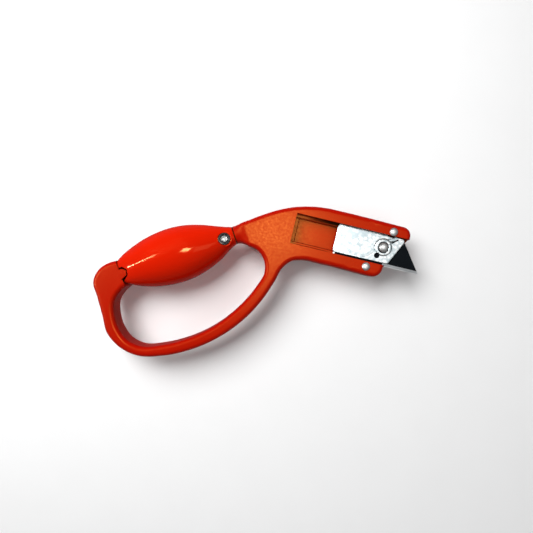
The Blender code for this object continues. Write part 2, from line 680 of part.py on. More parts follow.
def make_rivet(name, spot, rivet_material, washer_material):
    """Domed stop rivet through an arm, and the washer that it is set over at the back."""
    seat = FRAME_HALF + GAP
    dome = [(RIVET_HEAD * math.sin(a), seat + 1.1 * math.cos(a))
            for a in (math.radians(15 * k) for k in range(7))]
    back = -seat - 0.8 - GAP
    profile = [*dome, (RIVET_SHANK, seat), (RIVET_SHANK, back), (RIVET_SHANK + 0.6, back),
               (RIVET_SHANK + 0.3, back - 0.6), (1.4, back - 0.9), (0.0, back - 0.9)]
    rivet = turned(f"{name}_stop_rivet", profile, 28)
    smooth(rivet)
    link(rivet, head, rivet_material, (*spot, 0.0))
    washer = rod(f"{name}_rivet_washer", (0.0, 0.0), 3.9, -seat - 0.8, -seat, 28)
    link(washer, head, washer_material, (*spot, 0.0))
    cut(washer, rod(f"{name}_washer_cutter", (0.0, 0.0), RIVET_SHANK + GAP, -20.0, 0.0, 28), washer)


# ---------------------------------------------------------------- the knife

clear_scene()
parts = new_collection("guarded_utility_knife")
cutters = new_collection("cutters")
ground_height = grip_radius(GRIP_LENGTH * 0.46) * GRIP_FLATNESS + GAP / 2
head = new_empty("head_frame", None, (HEAD_X, HEAD_Y, ground_height))
grip = new_empty("grip_axis", head, (*GRIP_REAR, 0.0), GRIP_ANGLE)
carriage = new_empty("carriage", head)

frame_plastic = new_material("frame_plastic", (0.70, 0.055, 0.010), 0.0, 0.32)
grip_plastic = new_material("grip_plastic", (0.62, 0.025, 0.006), 0.0, 0.16)
zinc_sheet = new_material("zinc_sheet", (0.72, 0.74, 0.75), 1.0, 0.34)
blade_steel = new_material("blade_steel", (0.02, 0.025, 0.03), 0.7, 0.35)
bright_steel = new_material("bright_steel", (0.80, 0.80, 0.80), 1.0, 0.18)
spring_steel = new_material("spring_steel", (0.32, 0.33, 0.36), 1.0, 0.30)
black_steel = new_material("black_steel", (0.015, 0.015, 0.015), 0.6, 0.35)
brass = new_material("brass", (0.72, 0.48, 0.18), 1.0, 0.28)

make_frame(frame_plastic)
make_back_shell(grip_plastic)
make_cover(grip_plastic)
make_screw(bright_steel)
make_washer(black_steel)
make_nut(brass)
make_blade(blade_steel)
make_spare_blades(blade_steel)
make_carrier(zinc_sheet)
make_slide_plate(zinc_sheet)
make_lock_leaf(spring_steel)
make_leaf_rivet(bright_steel)
make_button(bright_steel)
make_button_clip(spring_steel)
make_rivet("upper", UPPER_RIVET, bright_steel, zinc_sheet)
make_rivet("lower", LOWER_RIVET, bright_steel, zinc_sheet)
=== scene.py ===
"""Studio picture of a guarded utility knife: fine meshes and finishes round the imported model.

The head frame used below has its origin on the rear wall of the blade channel, +X along the
blade's slide towards the tip, +Y towards the tool's back and z = 0 in the frame's mid-plane.
Shapes are worked out there in millimetres and then set in place in metres.
"""
import logging
import math
from dataclasses import dataclass
from enum import Enum
from typing import Sequence

import bmesh
import bpy
from mathutils import Matrix, Vector


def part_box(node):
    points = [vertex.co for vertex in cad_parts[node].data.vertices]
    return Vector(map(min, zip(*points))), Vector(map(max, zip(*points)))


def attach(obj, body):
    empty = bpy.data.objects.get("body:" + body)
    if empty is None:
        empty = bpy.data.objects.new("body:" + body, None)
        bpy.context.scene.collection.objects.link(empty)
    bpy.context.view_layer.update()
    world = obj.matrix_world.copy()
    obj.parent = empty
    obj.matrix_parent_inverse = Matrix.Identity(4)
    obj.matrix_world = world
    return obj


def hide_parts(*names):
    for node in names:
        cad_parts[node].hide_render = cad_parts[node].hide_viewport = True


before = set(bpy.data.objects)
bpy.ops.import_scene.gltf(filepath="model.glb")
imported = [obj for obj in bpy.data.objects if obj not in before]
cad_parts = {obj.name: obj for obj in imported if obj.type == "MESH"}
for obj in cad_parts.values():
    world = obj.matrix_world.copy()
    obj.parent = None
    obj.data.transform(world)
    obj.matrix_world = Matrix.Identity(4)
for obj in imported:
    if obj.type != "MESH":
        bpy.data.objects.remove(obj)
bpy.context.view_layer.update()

MM = 0.001
LOG = logging.getLogger("guarded_knife")

NodeTree = bpy.types.NodeTree
ShaderNode = bpy.types.Node
Material = bpy.types.Material
Piece = bpy.types.Object
Knot = tuple[float, ...]
Loop = list[Vector]
Span = tuple[float, float]
Corner = tuple[float, float, float]


# ------------------------------------------------------------------ names and options

class Body(Enum):
    """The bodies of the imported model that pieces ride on."""

    FRAME = "frame"
    CARRIER = "carrier"
    BUTTON = "button"
    COVER = "cover"
    SCREW = "screw"


class Slot(Enum):
    """The record's material slots that new pieces answer to."""

    FRAME_PLASTIC = "frame_plastic"
    GRIP_PLASTIC = "grip_plastic"
    ZINC_SHEET = "zinc_sheet"
    BRIGHT_STEEL = "bright_steel"
    BLACK_STEEL = "black_steel"


class Fit(Enum):
    """How a tool mesh acts on a piece."""

    CUT = "DIFFERENCE"
    JOIN = "UNION"


# ------------------------------------------------------------------ colours and nodes

def linear(srgb_hex: str) -> tuple[float, float, float, float]:
    """Turns an sRGB hex colour into a linear one.

    Args:
        srgb_hex: six hex digits after a hash sign.

    Returns:
        Linear red, green and blue, with an alpha of 1.
    """
    channels = [int(srgb_hex[i:i + 2], 16) / 255 for i in (1, 3, 5)]
    red, green, blue = (c / 12.92 if c <= 0.04045 else ((c + 0.055) / 1.055) ** 2.4 for c in channels)
    return (red, green, blue, 1.0)


def per_mm(size_mm: float) -> float:
    """Pattern scale, in cycles per metre, of a feature of this many millimetres."""
    return 1.0 / (size_mm * MM)


def add_node(tree: NodeTree, kind: str, settings: dict,
             links: Sequence[tuple] = ()) -> ShaderNode:
    """Adds a shader node.

    Args:
        tree: the material's node tree.
        kind: Blender's name for the node type.
        settings: properties of the node by name, and values of its inputs by name or number.
        links: triples of an input, the node that feeds it and that node's output.

    Returns:
        The new node.
    """
    node = tree.nodes.new(kind)
    for key, value in settings.items():
        if isinstance(key, str) and key in node.bl_rna.properties:
            setattr(node, key, value)
        else:
            node.inputs[key].default_value = value
    for key, source, output in links:
        tree.links.new(source.outputs[output], node.inputs[key])
    return node


# ------------------------------------------------------------------ finishes

@dataclass(frozen=True)
class Finish:
    """A material and how its surface was made."""

    name: str

    def start(self) -> tuple[NodeTree, ShaderNode, ShaderNode, Material]:
        """Makes an empty material.

        Returns:
            The node tree, its Principled shader, a node with the piece's own coordinates, and the material.
        """
        material = bpy.data.materials.new(self.name)
        material.use_nodes = True
        tree = material.node_tree
        shader = tree.nodes["Principled BSDF"]
        return tree, shader, add_node(tree, "ShaderNodeTexCoord", {}), material

    def feed(self, tree: NodeTree, shader: ShaderNode, tint: ShaderNode, gloss: ShaderNode,
             relief: ShaderNode) -> None:
        """Links a tint, a roughness and a relief to the shader.

        Args:
            tree: the material's node tree.
            shader: its Principled shader.
            tint: a colour mix.
            gloss: a node whose first output is the roughness.
            relief: a bump node.
        """
        tree.links.new(tint.outputs[2], shader.inputs["Base Color"])
        tree.links.new(gloss.outputs[0], shader.inputs["Roughness"])
        tree.links.new(relief.outputs["Normal"], shader.inputs["Normal"])

    def make(self) -> Material:
        """Builds the material."""
        raise NotImplementedError


@dataclass(frozen=True)
class PaintedShade:
    """A box in which shade is painted into a finish: centre and half sizes in mm, and a turn in degrees.

    Darkness goes from 0 to 1, and fade is the share of the box over which it falls off at the sides.
    """

    centre: Corner
    half: Corner
    turn: float = 0.0
    darkness: float = 1.0
    fade: float = 0.15

    def mask(self, tree: NodeTree, place: ShaderNode) -> ShaderNode:
        """Adds the nodes of the mask.

        Args:
            tree: the material's node tree.
            place: the node with the piece's coordinates.

        Returns:
            The node whose Result is the darkness at a point.
        """
        boxed = add_node(tree, "ShaderNodeMapping",
                         {"vector_type": "TEXTURE", "Location": [value * MM for value in self.centre],
                          "Rotation": (0.0, 0.0, math.radians(self.turn)),
                          "Scale": [value * MM for value in self.half]}, [("Vector", place, "Object")])
        spread = add_node(tree, "ShaderNodeVectorMath", {"operation": "ABSOLUTE"}, [(0, boxed, "Vector")])
        parts = add_node(tree, "ShaderNodeSeparateXYZ", {}, [("Vector", spread, "Vector")])
        flat = add_node(tree, "ShaderNodeMath", {"operation": "MAXIMUM"},
                        [(0, parts, "X"), (1, parts, "Y")])
        deep = add_node(tree, "ShaderNodeMath", {"operation": "MAXIMUM"},
                        [(0, flat, "Value"), (1, parts, "Z")])
        return add_node(tree, "ShaderNodeMapRange",
                        {"From Min": 1.0 - self.fade, "From Max": 1.0,
                         "To Min": self.darkness, "To Max": 0.0}, [("Value", deep, "Value")])


@dataclass(frozen=True)
class MouldedPlastic(Finish):
    """ABS moulded in its own colour. Flow clouds the tint a little, and the mould leaves orange peel.

    Painted shade darkens the tint and dulls the gloss inside given boxes round gaps and recesses.
    """

    tint: str
    cloud_tint: str
    roughness: float
    roughness_spread: float
    peel_mm: float
    peel_depth_mm: float
    wave_mm: float
    wave_depth_mm: float
    specular: float = 0.5
    specular_tint: str = "#FFFFFF"
    cloud_mm: float = 22.0
    haze_mm: float = 1.6
    # Boxes of painted shade, and the near-black colour painted in them.
    painted_shades: tuple[PaintedShade, ...] = ()
    shade_colour: str = "#0B0202"

    def make(self) -> Material:
        """Builds the material.

        Returns:
            The material.
        """
        tree, shader, place, material = self.start()
        cloud = add_node(tree, "ShaderNodeTexNoise", {"Scale": per_mm(self.cloud_mm), "Detail": 3.0},
                         [("Vector", place, "Object")])
        tint = add_node(tree, "ShaderNodeMix",
                        {"data_type": "RGBA", 6: linear(self.tint), 7: linear(self.cloud_tint)},
                        [(0, cloud, "Fac")])
        haze = add_node(tree, "ShaderNodeTexNoise", {"Scale": per_mm(self.haze_mm), "Detail": 5.0},
                        [("Vector", place, "Object")])
        gloss = add_node(tree, "ShaderNodeMapRange",
                         {"From Min": 0.3, "From Max": 0.7, "To Min": self.roughness - self.roughness_spread,
                          "To Max": self.roughness + self.roughness_spread}, [("Value", haze, "Fac")])
        # Painted shade: in each box the tint goes towards near-black and the roughness rises.
        for shade_box in self.painted_shades:
            mask = shade_box.mask(tree, place)
            tint = add_node(tree, "ShaderNodeMix", {"data_type": "RGBA", 7: linear(self.shade_colour)},
                            [(0, mask, "Result"), (6, tint, 2)])
            gloss = add_node(tree, "ShaderNodeMath", {"operation": "MAXIMUM"},
                             [(0, gloss, 0), (1, mask, "Result")])
        wave = add_node(tree, "ShaderNodeTexNoise", {"Scale": per_mm(self.wave_mm), "Detail": 1.0},
                        [("Vector", place, "Object")])
        sink = add_node(tree, "ShaderNodeBump", {"Strength": 1.0, "Distance": self.wave_depth_mm * MM},
                        [("Height", wave, "Fac")])
        peel = add_node(tree, "ShaderNodeTexNoise", {"Scale": per_mm(self.peel_mm), "Detail": 2.0},
                        [("Vector", place, "Object")])
        skin = add_node(tree, "ShaderNodeBump", {"Strength": 1.0, "Distance": self.peel_depth_mm * MM},
                        [("Height", peel, "Fac"), ("Normal", sink, "Normal")])
        shader.inputs["IOR"].default_value = 1.53
        shader.inputs["Specular IOR Level"].default_value = self.specular
        shader.inputs["Specular Tint"].default_value = linear(self.specular_tint)
        self.feed(tree, shader, tint, gloss, skin)
        return material


@dataclass(frozen=True)
class ZincPlatedSheet(Finish):
    """Cold-rolled steel sheet with bright zinc: cloudy crystal patches and faint rolling lines."""

    light_tint: str = "#F6F8F8"
    dull_tint: str = "#B7C4C8"
    patch_mm: float = 2.6
    cloud_mm: float = 7.0
    line_mm: float = 0.5
    roughness: float = 0.24

    def make(self) -> Material:
        """Builds the material.

        Returns:
            The material.
        """
        tree, shader, place, material = self.start()
        patches = add_node(tree, "ShaderNodeTexVoronoi",
                           {"feature": "SMOOTH_F1", "Scale": per_mm(self.patch_mm), "Smoothness": 0.6},
                           [("Vector", place, "Object")])
        clouds = add_node(tree, "ShaderNodeTexNoise", {"Scale": per_mm(self.cloud_mm), "Detail": 6.0,
                                                       "Roughness": 0.65}, [("Vector", place, "Object")])
        blend = add_node(tree, "ShaderNodeMath", {"operation": "MULTIPLY"},
                         [(0, patches, "Distance"), (1, clouds, "Fac")])
        dulling = add_node(tree, "ShaderNodeMapRange", {"From Min": 0.10, "From Max": 0.34},
                           [("Value", blend, "Value")])
        tint = add_node(tree, "ShaderNodeMix",
                        {"data_type": "RGBA", 6: linear(self.light_tint), 7: linear(self.dull_tint)},
                        [(0, dulling, "Result")])
        gloss = add_node(tree, "ShaderNodeMapRange",
                         {"From Min": 0.3, "From Max": 0.7, "To Min": self.roughness - 0.06,
                          "To Max": self.roughness + 0.12}, [("Value", clouds, "Fac")])
        stretch = add_node(tree, "ShaderNodeMapping", {"Scale": (0.04, 1.0, 1.0)},
                           [("Vector", place, "Object")])
        rolling = add_node(tree, "ShaderNodeTexNoise", {"Scale": per_mm(self.line_mm), "Detail": 3.0},
                           [("Vector", stretch, "Vector")])
        grain = add_node(tree, "ShaderNodeBump", {"Strength": 0.5, "Distance": 0.01 * MM},
                         [("Height", rolling, "Fac")])
        relief = add_node(tree, "ShaderNodeBump", {"Strength": 0.7, "Distance": 0.05 * MM},
                          [("Height", clouds, "Fac"), ("Normal", grain, "Normal")])
        shader.inputs["Metallic"].default_value = 1.0
        self.feed(tree, shader, tint, gloss, relief)
        return material


@dataclass(frozen=True)
class BlackenedBlade(Finish):
    """Hardened carbon steel, blackened, with a bright edge ground across it and a finer honed strip; behind
    the lower arm the ground edge is painted black as shade.
    """

    across: Corner
    edge_at_mm: float
    # Painted shade: short of this x the ground edge keeps the blade's black; the default paints none.
    unshaded_from_mm: float = -1000.0
    ground_mm: float = 2.2
    honed_mm: float = 0.6
    black: str = "#080B0E"
    bright: str = "#E9EBEC"
    honed: str = "#F6F7F8"
    scratched: str = "#C3C7CA"
    scuffed: str = "#12161A"
    grit_mm: float = 0.16
    scuff_mm: float = 5.0

    def make(self) -> Material:
        """Builds the material.

        Returns:
            The material.
        """
        tree, shader, place, material = self.start()
        height = add_node(tree, "ShaderNodeVectorMath", {"operation": "DOT_PRODUCT", 1: self.across},
                          [(0, place, "Object")])
        ground = add_node(tree, "ShaderNodeMath",
                          {"operation": "LESS_THAN", 1: (self.edge_at_mm + self.ground_mm) * MM},
                          [(0, height, "Value")])
        parts = add_node(tree, "ShaderNodeSeparateXYZ", {}, [("Vector", place, "Object")])
        # Painted shade: behind the lower arm the ground edge is left black.
        out_of_shade = add_node(tree, "ShaderNodeMath", {"operation": "GREATER_THAN", 1: self.unshaded_from_mm * MM},
                         [(0, parts, "X")])
        ground = add_node(tree, "ShaderNodeMath", {"operation": "MULTIPLY"},
                          [(0, ground, "Value"), (1, out_of_shade, "Value")])
        honed = add_node(tree, "ShaderNodeMath",
                         {"operation": "LESS_THAN", 1: (self.edge_at_mm + self.honed_mm) * MM},
                         [(0, height, "Value")])
        grit = add_node(tree, "ShaderNodeTexNoise", {"Scale": per_mm(self.grit_mm), "Detail": 2.0},
                        [("Vector", place, "Object")])
        scuffs = add_node(tree, "ShaderNodeTexNoise", {"Scale": per_mm(self.scuff_mm), "Detail": 6.0},
                          [("Vector", place, "Object")])
        scratched = add_node(tree, "ShaderNodeMix",
                             {"data_type": "RGBA", 6: linear(self.bright), 7: linear(self.scratched)},
                             [(0, grit, "Fac")])
        edge_tint = add_node(tree, "ShaderNodeMix", {"data_type": "RGBA", 7: linear(self.honed)},
                             [(0, honed, "Value"), (6, scratched, 2)])
        black = add_node(tree, "ShaderNodeMix",
                         {"data_type": "RGBA", 6: linear(self.black), 7: linear(self.scuffed)},
                         [(0, scuffs, "Fac")])
        tint = add_node(tree, "ShaderNodeMix", {"data_type": "RGBA"},
                        [(0, ground, "Value"), (6, black, 2), (7, edge_tint, 2)])
        gloss = add_node(tree, "ShaderNodeMapRange",
                         {"From Min": 0.3, "From Max": 0.7, "To Min": 0.26, "To Max": 0.38},
                         [("Value", scuffs, "Fac")])
        relief = add_node(tree, "ShaderNodeBump", {"Strength": 0.4, "Distance": 0.01 * MM},
                          [("Height", grit, "Fac")])
        shader.inputs["Specular IOR Level"].default_value = 0.03
        tree.links.new(ground.outputs["Value"], shader.inputs["Metallic"])
        self.feed(tree, shader, tint, gloss, relief)
        return material


@dataclass(frozen=True)
class WorkedMetal(Finish):
    """Turned, headed or rolled metal: a small spread of tint and gloss, and fine tool marks."""

    tint: str
    shade: str
    roughness: float
    mark_mm: float
    mark_depth_mm: float = 0.008
    metallic: float = 1.0

    def make(self) -> Material:
        """Builds the material.

        Returns:
            The material.
        """
        tree, shader, place, material = self.start()
        marks = add_node(tree, "ShaderNodeTexNoise", {"Scale": per_mm(self.mark_mm), "Detail": 5.0},
                         [("Vector", place, "Object")])
        tint = add_node(tree, "ShaderNodeMix",
                        {"data_type": "RGBA", 6: linear(self.tint), 7: linear(self.shade)},
                        [(0, marks, "Fac")])
        gloss = add_node(tree, "ShaderNodeMapRange",
                         {"From Min": 0.3, "From Max": 0.7, "To Min": self.roughness * 0.75,
                          "To Max": self.roughness * 1.35}, [("Value", marks, "Fac")])
        relief = add_node(tree, "ShaderNodeBump", {"Strength": 0.5, "Distance": self.mark_depth_mm * MM},
                          [("Height", marks, "Fac")])
        shader.inputs["Metallic"].default_value = self.metallic
        self.feed(tree, shader, tint, gloss, relief)
        return material


@dataclass(frozen=True)
class PaleTableTop(Finish):
    """White laminate, matt, with a very faint mottle."""

    tint: str = "#F4F4F4"
    mottle_tint: str = "#F1F1F1"
    mottle_mm: float = 30.0

    def make(self) -> Material:
        """Builds the material.

        Returns:
            The material.
        """
        tree, shader, place, material = self.start()
        mottle = add_node(tree, "ShaderNodeTexNoise", {"Scale": per_mm(self.mottle_mm), "Detail": 2.0},
                          [("Vector", place, "Object")])
        tint = add_node(tree, "ShaderNodeMix",
                        {"data_type": "RGBA", 6: linear(self.tint), 7: linear(self.mottle_tint)},
                        [(0, mottle, "Fac")])
        shader.inputs["Roughness"].default_value = 0.9
        shader.inputs["Specular IOR Level"].default_value = 0.1
        tree.links.new(tint.outputs[2], shader.inputs["Base Color"])
        return material


# ------------------------------------------------------------------ outlines

def fillet(before: Vector, corner: Vector, after: Vector, radius: float) -> Loop:
    """Rounds a corner of an outline.

    Args:
        before: the outline's point before the corner.
        corner: the corner.
        after: the point after it.
        radius: radius of the arc, in mm.

    Returns:
        Points along the arc.
    """
    arm_in = (before - corner).normalized()
    arm_out = (after - corner).normalized()
    half = arm_in.angle(arm_out) / 2
    centre = corner + (arm_in + arm_out).normalized() * radius / math.sin(half)
    spoke = corner + arm_in * radius / math.tan(half) - centre
    turn = math.copysign(math.pi - 2 * half, -arm_in.cross(arm_out))
    steps = max(2, math.ceil(abs(turn) / math.radians(7)))
    return [centre + Matrix.Rotation(turn * k / steps, 2) @ spoke for k in range(steps + 1)]


def smooth_direction(before: Vector, here: Vector, after: Vector) -> Vector:
    """Direction of a smooth curve through the middle one of three points.

    Args:
        before: the point before.
        here: the point the direction is wanted at.
        after: the point after.

    Returns:
        A unit vector along the curve.
    """
    step_in = here - before
    step_out = after - here
    weight_in = step_out.length / step_in.length
    return (step_in * weight_in + step_out / weight_in).normalized()


def flowing(start: Vector, leaving: Vector, end: Vector, arriving: Vector, step: float) -> Loop:
    """Inner points of a smooth curve between two points.

    Args:
        start: first point.
        leaving: direction there.
        end: last point.
        arriving: direction there.
        step: wanted spacing, in mm.

    Returns:
        The points between start and end.
    """
    reach = (end - start).length
    steps = max(1, round(reach / step))
    points = []
    for k in range(1, steps):
        s = k / steps
        points.append(start * (2 * s**3 - 3 * s**2 + 1) + leaving * reach * (s**3 - 2 * s**2 + s)
                      + end * (3 * s**2 - 2 * s**3) + arriving * reach * (s**3 - s**2))
    return points


def traced(knots: Sequence[Knot], step: float = 1.1) -> Loop:
    """Closed outline through knots.

    Args:
        knots: (x, y) is passed smoothly and (x, y, radius) is a rounded corner, in mm.
        step: spacing of points along smooth stretches, in mm.

    Returns:
        The outline's points.
    """
    spots = [Vector(knot[:2]) for knot in knots]
    count = len(knots)
    stations = []
    for i, knot in enumerate(knots):
        before, here, after = spots[i - 1], spots[i], spots[(i + 1) % count]
        if len(knot) == 2:
            direction = smooth_direction(before, here, after)
            stations.append(([here], direction, direction))
        else:
            arc = fillet(before, here, after, knot[2]) if knot[2] > 0 else [here]
            stations.append((arc, (here - before).normalized(), (after - here).normalized()))
    points: Loop = []
    for i, (arc, _, leaving) in enumerate(stations):
        next_arc, arriving, _ = stations[(i + 1) % count]
        points.extend(arc)
        if len(knots[i]) == 2 or len(knots[(i + 1) % count]) == 2:
            points.extend(flowing(arc[-1], leaving, next_arc[0], arriving, step))
    return points


def rounded_slot(start: tuple[float, float], end: tuple[float, float], width: float) -> Loop:
    """Outline of a slot with round ends between two centres, in mm.

    Args:
        start: centre of one end.
        end: centre of the other end.
        width: the slot's width.

    Returns:
        The outline's points.
    """
    along = (Vector(end) - Vector(start)).normalized()
    side = Vector((-along.y, along.x)) * width / 2
    points: Loop = []
    for centre, first in ((Vector(end), -side), (Vector(start), side)):
        points.extend(centre + Matrix.Rotation(math.pi * k / 12, 2) @ first for k in range(13))
    return points


# ------------------------------------------------------------------ workshop

@dataclass(frozen=True)
class Workshop:
    """Makes meshes in a frame of its own, in mm, and works them with tools made the same way."""

    origin: Vector
    angle: float = 0.0

    @property
    def placing(self) -> Matrix:
        """Matrix from this frame's millimetres to the row's metres."""
        return (Matrix.Translation(self.origin) @ Matrix.Rotation(math.radians(self.angle), 4, "Z")
                @ Matrix.Diagonal((MM, MM, MM, 1.0)))

    def put(self, name: str, bm: bmesh.types.BMesh) -> Piece:
        """Turns a bmesh in this frame into an object at the world's origin.

        Args:
            name: the object's name.
            bm: the mesh in mm, which is used up.

        Returns:
            The object, in metres.
        """
        bmesh.ops.recalc_face_normals(bm, faces=bm.faces)
        bmesh.ops.transform(bm, matrix=self.placing, verts=bm.verts)
        mesh = bpy.data.meshes.new(name)
        bm.to_mesh(mesh)
        bm.free()
        piece = bpy.data.objects.new(name, mesh)
        bpy.context.scene.collection.objects.link(piece)
        return piece

    def plate(self, name: str, loops: Sequence[Loop], low: float, high: float, rim: float = 0.0,
              rim_steps: int = 2) -> Piece:
        """A flat piece between two heights, whose long edges can be rounded.

        Args:
            name: the piece's name.
            loops: closed outlines, the outer one first.
            low: height of its lower face, in mm.
            high: height of its upper face, in mm.
            rim: radius of the rounded edges, in mm.
            rim_steps: how finely the edges are rounded.

        Returns:
            The piece.
        """
        curve = bpy.data.curves.new(name, "CURVE")
        curve.dimensions = "2D"
        curve.fill_mode = "BOTH"
        curve.extrude = (high - low) / 2 - rim
        curve.bevel_depth = rim
        curve.bevel_resolution = rim_steps
        curve.offset = -rim
        for loop in loops:
            spline = curve.splines.new("POLY")
            spline.points.add(len(loop) - 1)
            spline.use_cyclic_u = True
            for point, spot in zip(spline.points, loop):
                point.co = (spot[0], spot[1], 0.0, 1.0)
        source = bpy.data.objects.new(name + "_curve", curve)
        bpy.context.scene.collection.objects.link(source)
        mesh = bpy.data.meshes.new_from_object(source.evaluated_get(bpy.context.evaluated_depsgraph_get()))
        bpy.data.objects.remove(source)
        bm = bmesh.new()
        bm.from_mesh(mesh)
        bpy.data.meshes.remove(mesh)
        bmesh.ops.remove_doubles(bm, verts=bm.verts, dist=0.004)
        bmesh.ops.translate(bm, verts=bm.verts, vec=(0.0, 0.0, (low + high) / 2))
        return self.put(name, bm)

    def block(self, name: str, low: Sequence[float], high: Sequence[float]) -> Piece:
        """A box between two corners, in mm.

        Args:
            name: the piece's name.
            low: its corner with the lowest values.
            high: its corner with the highest values.

        Returns:
            The piece.
        """
        bm = bmesh.new()
        bmesh.ops.create_cube(bm, size=1.0)
        for vert in bm.verts:
            vert.co = [low[i] if vert.co[i] < 0 else high[i] for i in range(3)]
        return self.put(name, bm)

    def rod(self, name: str, centre: Sequence[float], radius: float, low: float, high: float,
            sides: int = 64) -> Piece:
        """An upright cylinder, or a prism with few sides, in mm.

        Args:
            name: the piece's name.
            centre: its axis in plan.
            radius: its radius.
            low: height of its lower face.
            high: height of its upper face.
            sides: facets round the axis.

        Returns:
            The piece.
        """
        bm = bmesh.new()
        bmesh.ops.create_cone(bm, cap_ends=True, segments=sides, radius1=radius, radius2=radius,
                              depth=high - low)
        bmesh.ops.translate(bm, verts=bm.verts, vec=(centre[0], centre[1], (low + high) / 2))
        return self.put(name, bm)

    def lathe(self, name: str, centre: Sequence[float], profile: Sequence[tuple[float, float]],
              sides: int = 72, ring: bool = False) -> Piece:
        """A piece turned about an upright axis.

        Args:
            name: the piece's name.
            centre: the axis, in mm.
            profile: (radius, height) from top to bottom, in mm.
            sides: facets round the axis.
            ring: True if the profile is a closed loop clear of the axis.

        Returns:
            The piece.
        """
        bm = bmesh.new()
        spots = [bm.verts.new((radius, 0.0, height)) for radius, height in profile]
        edges = [bm.edges.new(pair) for pair in zip(spots, spots[1:])]
        if ring:
            edges.append(bm.edges.new((spots[-1], spots[0])))
        bmesh.ops.spin(bm, geom=spots + edges, cent=(0, 0, 0), axis=(0, 0, 1), angle=2 * math.pi,
                       steps=sides, use_merge=True)
        bmesh.ops.remove_doubles(bm, verts=bm.verts, dist=0.001)
        bmesh.ops.translate(bm, verts=bm.verts, vec=(centre[0], centre[1], 0.0))
        return self.put(name, bm)


def settle(piece: Piece) -> None:
    """Works a piece's modifiers into its mesh.

    Args:
        piece: the piece, whose modifiers are used up.
    """
    mesh = bpy.data.meshes.new_from_object(piece.evaluated_get(bpy.context.evaluated_depsgraph_get()))
    piece.modifiers.clear()
    old = piece.data
    piece.data = mesh
    bpy.data.meshes.remove(old)


def work(piece: Piece, tool: Piece, fit: Fit) -> None:
    """Cuts a tool mesh from a piece or joins it on, and removes the tool.

    Args:
        piece: the piece to work on.
        tool: the mesh that cuts or is joined on.
        fit: cut or join.
    """
    modifier = piece.modifiers.new("work", "BOOLEAN")
    modifier.object = tool
    modifier.operation = fit.value
    modifier.solver = "EXACT"
    settle(piece)
    bpy.data.objects.remove(tool)


def soften(piece: Piece, width: float, angle: float = 40.0, steps: int = 2) -> None:
    """Breaks the sharp edges of a piece and smooths its shading.

    Args:
        piece: the piece.
        width: width of the broken edges, in mm, or 0 for none.
        angle: edges sharper than this many degrees are broken.
        steps: facets across each broken edge.
    """
    if width > 0:
        bevel = piece.modifiers.new("edges", "BEVEL")
        bevel.width = width * MM
        bevel.segments = steps
        bevel.limit_method = "ANGLE"
        bevel.angle_limit = math.radians(angle)
        bevel.use_clamp_overlap = True
        settle(piece)
    piece.data.shade_smooth()
    piece.data.set_sharp_from_angle(angle=math.radians(angle))
    weighted = piece.modifiers.new("flat_faces", "WEIGHTED_NORMAL")
    weighted.keep_sharp = True
    weighted.weight = 80
    settle(piece)


def dress(piece: Piece, material: Material, slot: Slot, body: Body,
          *stands_for: str) -> Piece:
    """Gives a new piece its finish and body.

    Args:
        piece: the piece.
        material: its finish.
        slot: the record's slot it answers to. Not used.
        body: the body it rides on.
        stands_for: CAD nodes that it replaces.

    Returns:
        The piece.
    """
    piece.data.materials.clear()
    piece.data.materials.append(material)
    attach(piece, body.value)
    if stands_for:
        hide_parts(*stands_for)
    LOG.info("%s: %d faces on %s", piece.name, len(piece.data.polygons), body.value)
    return piece


def recoat(node: str, material: Material) -> None:
    """Gives a carried-over CAD node its finish.

    Args:
        node: the CAD node's name.
        material: its finish.
    """
    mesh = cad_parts[node].data
    if not mesh.materials:
        mesh.materials.append(material)
    for i in range(len(mesh.materials)):
        mesh.materials[i] = material
    LOG.info("%s: kept, finish %s", node, material.name)


# ------------------------------------------------------------------ shared sizes

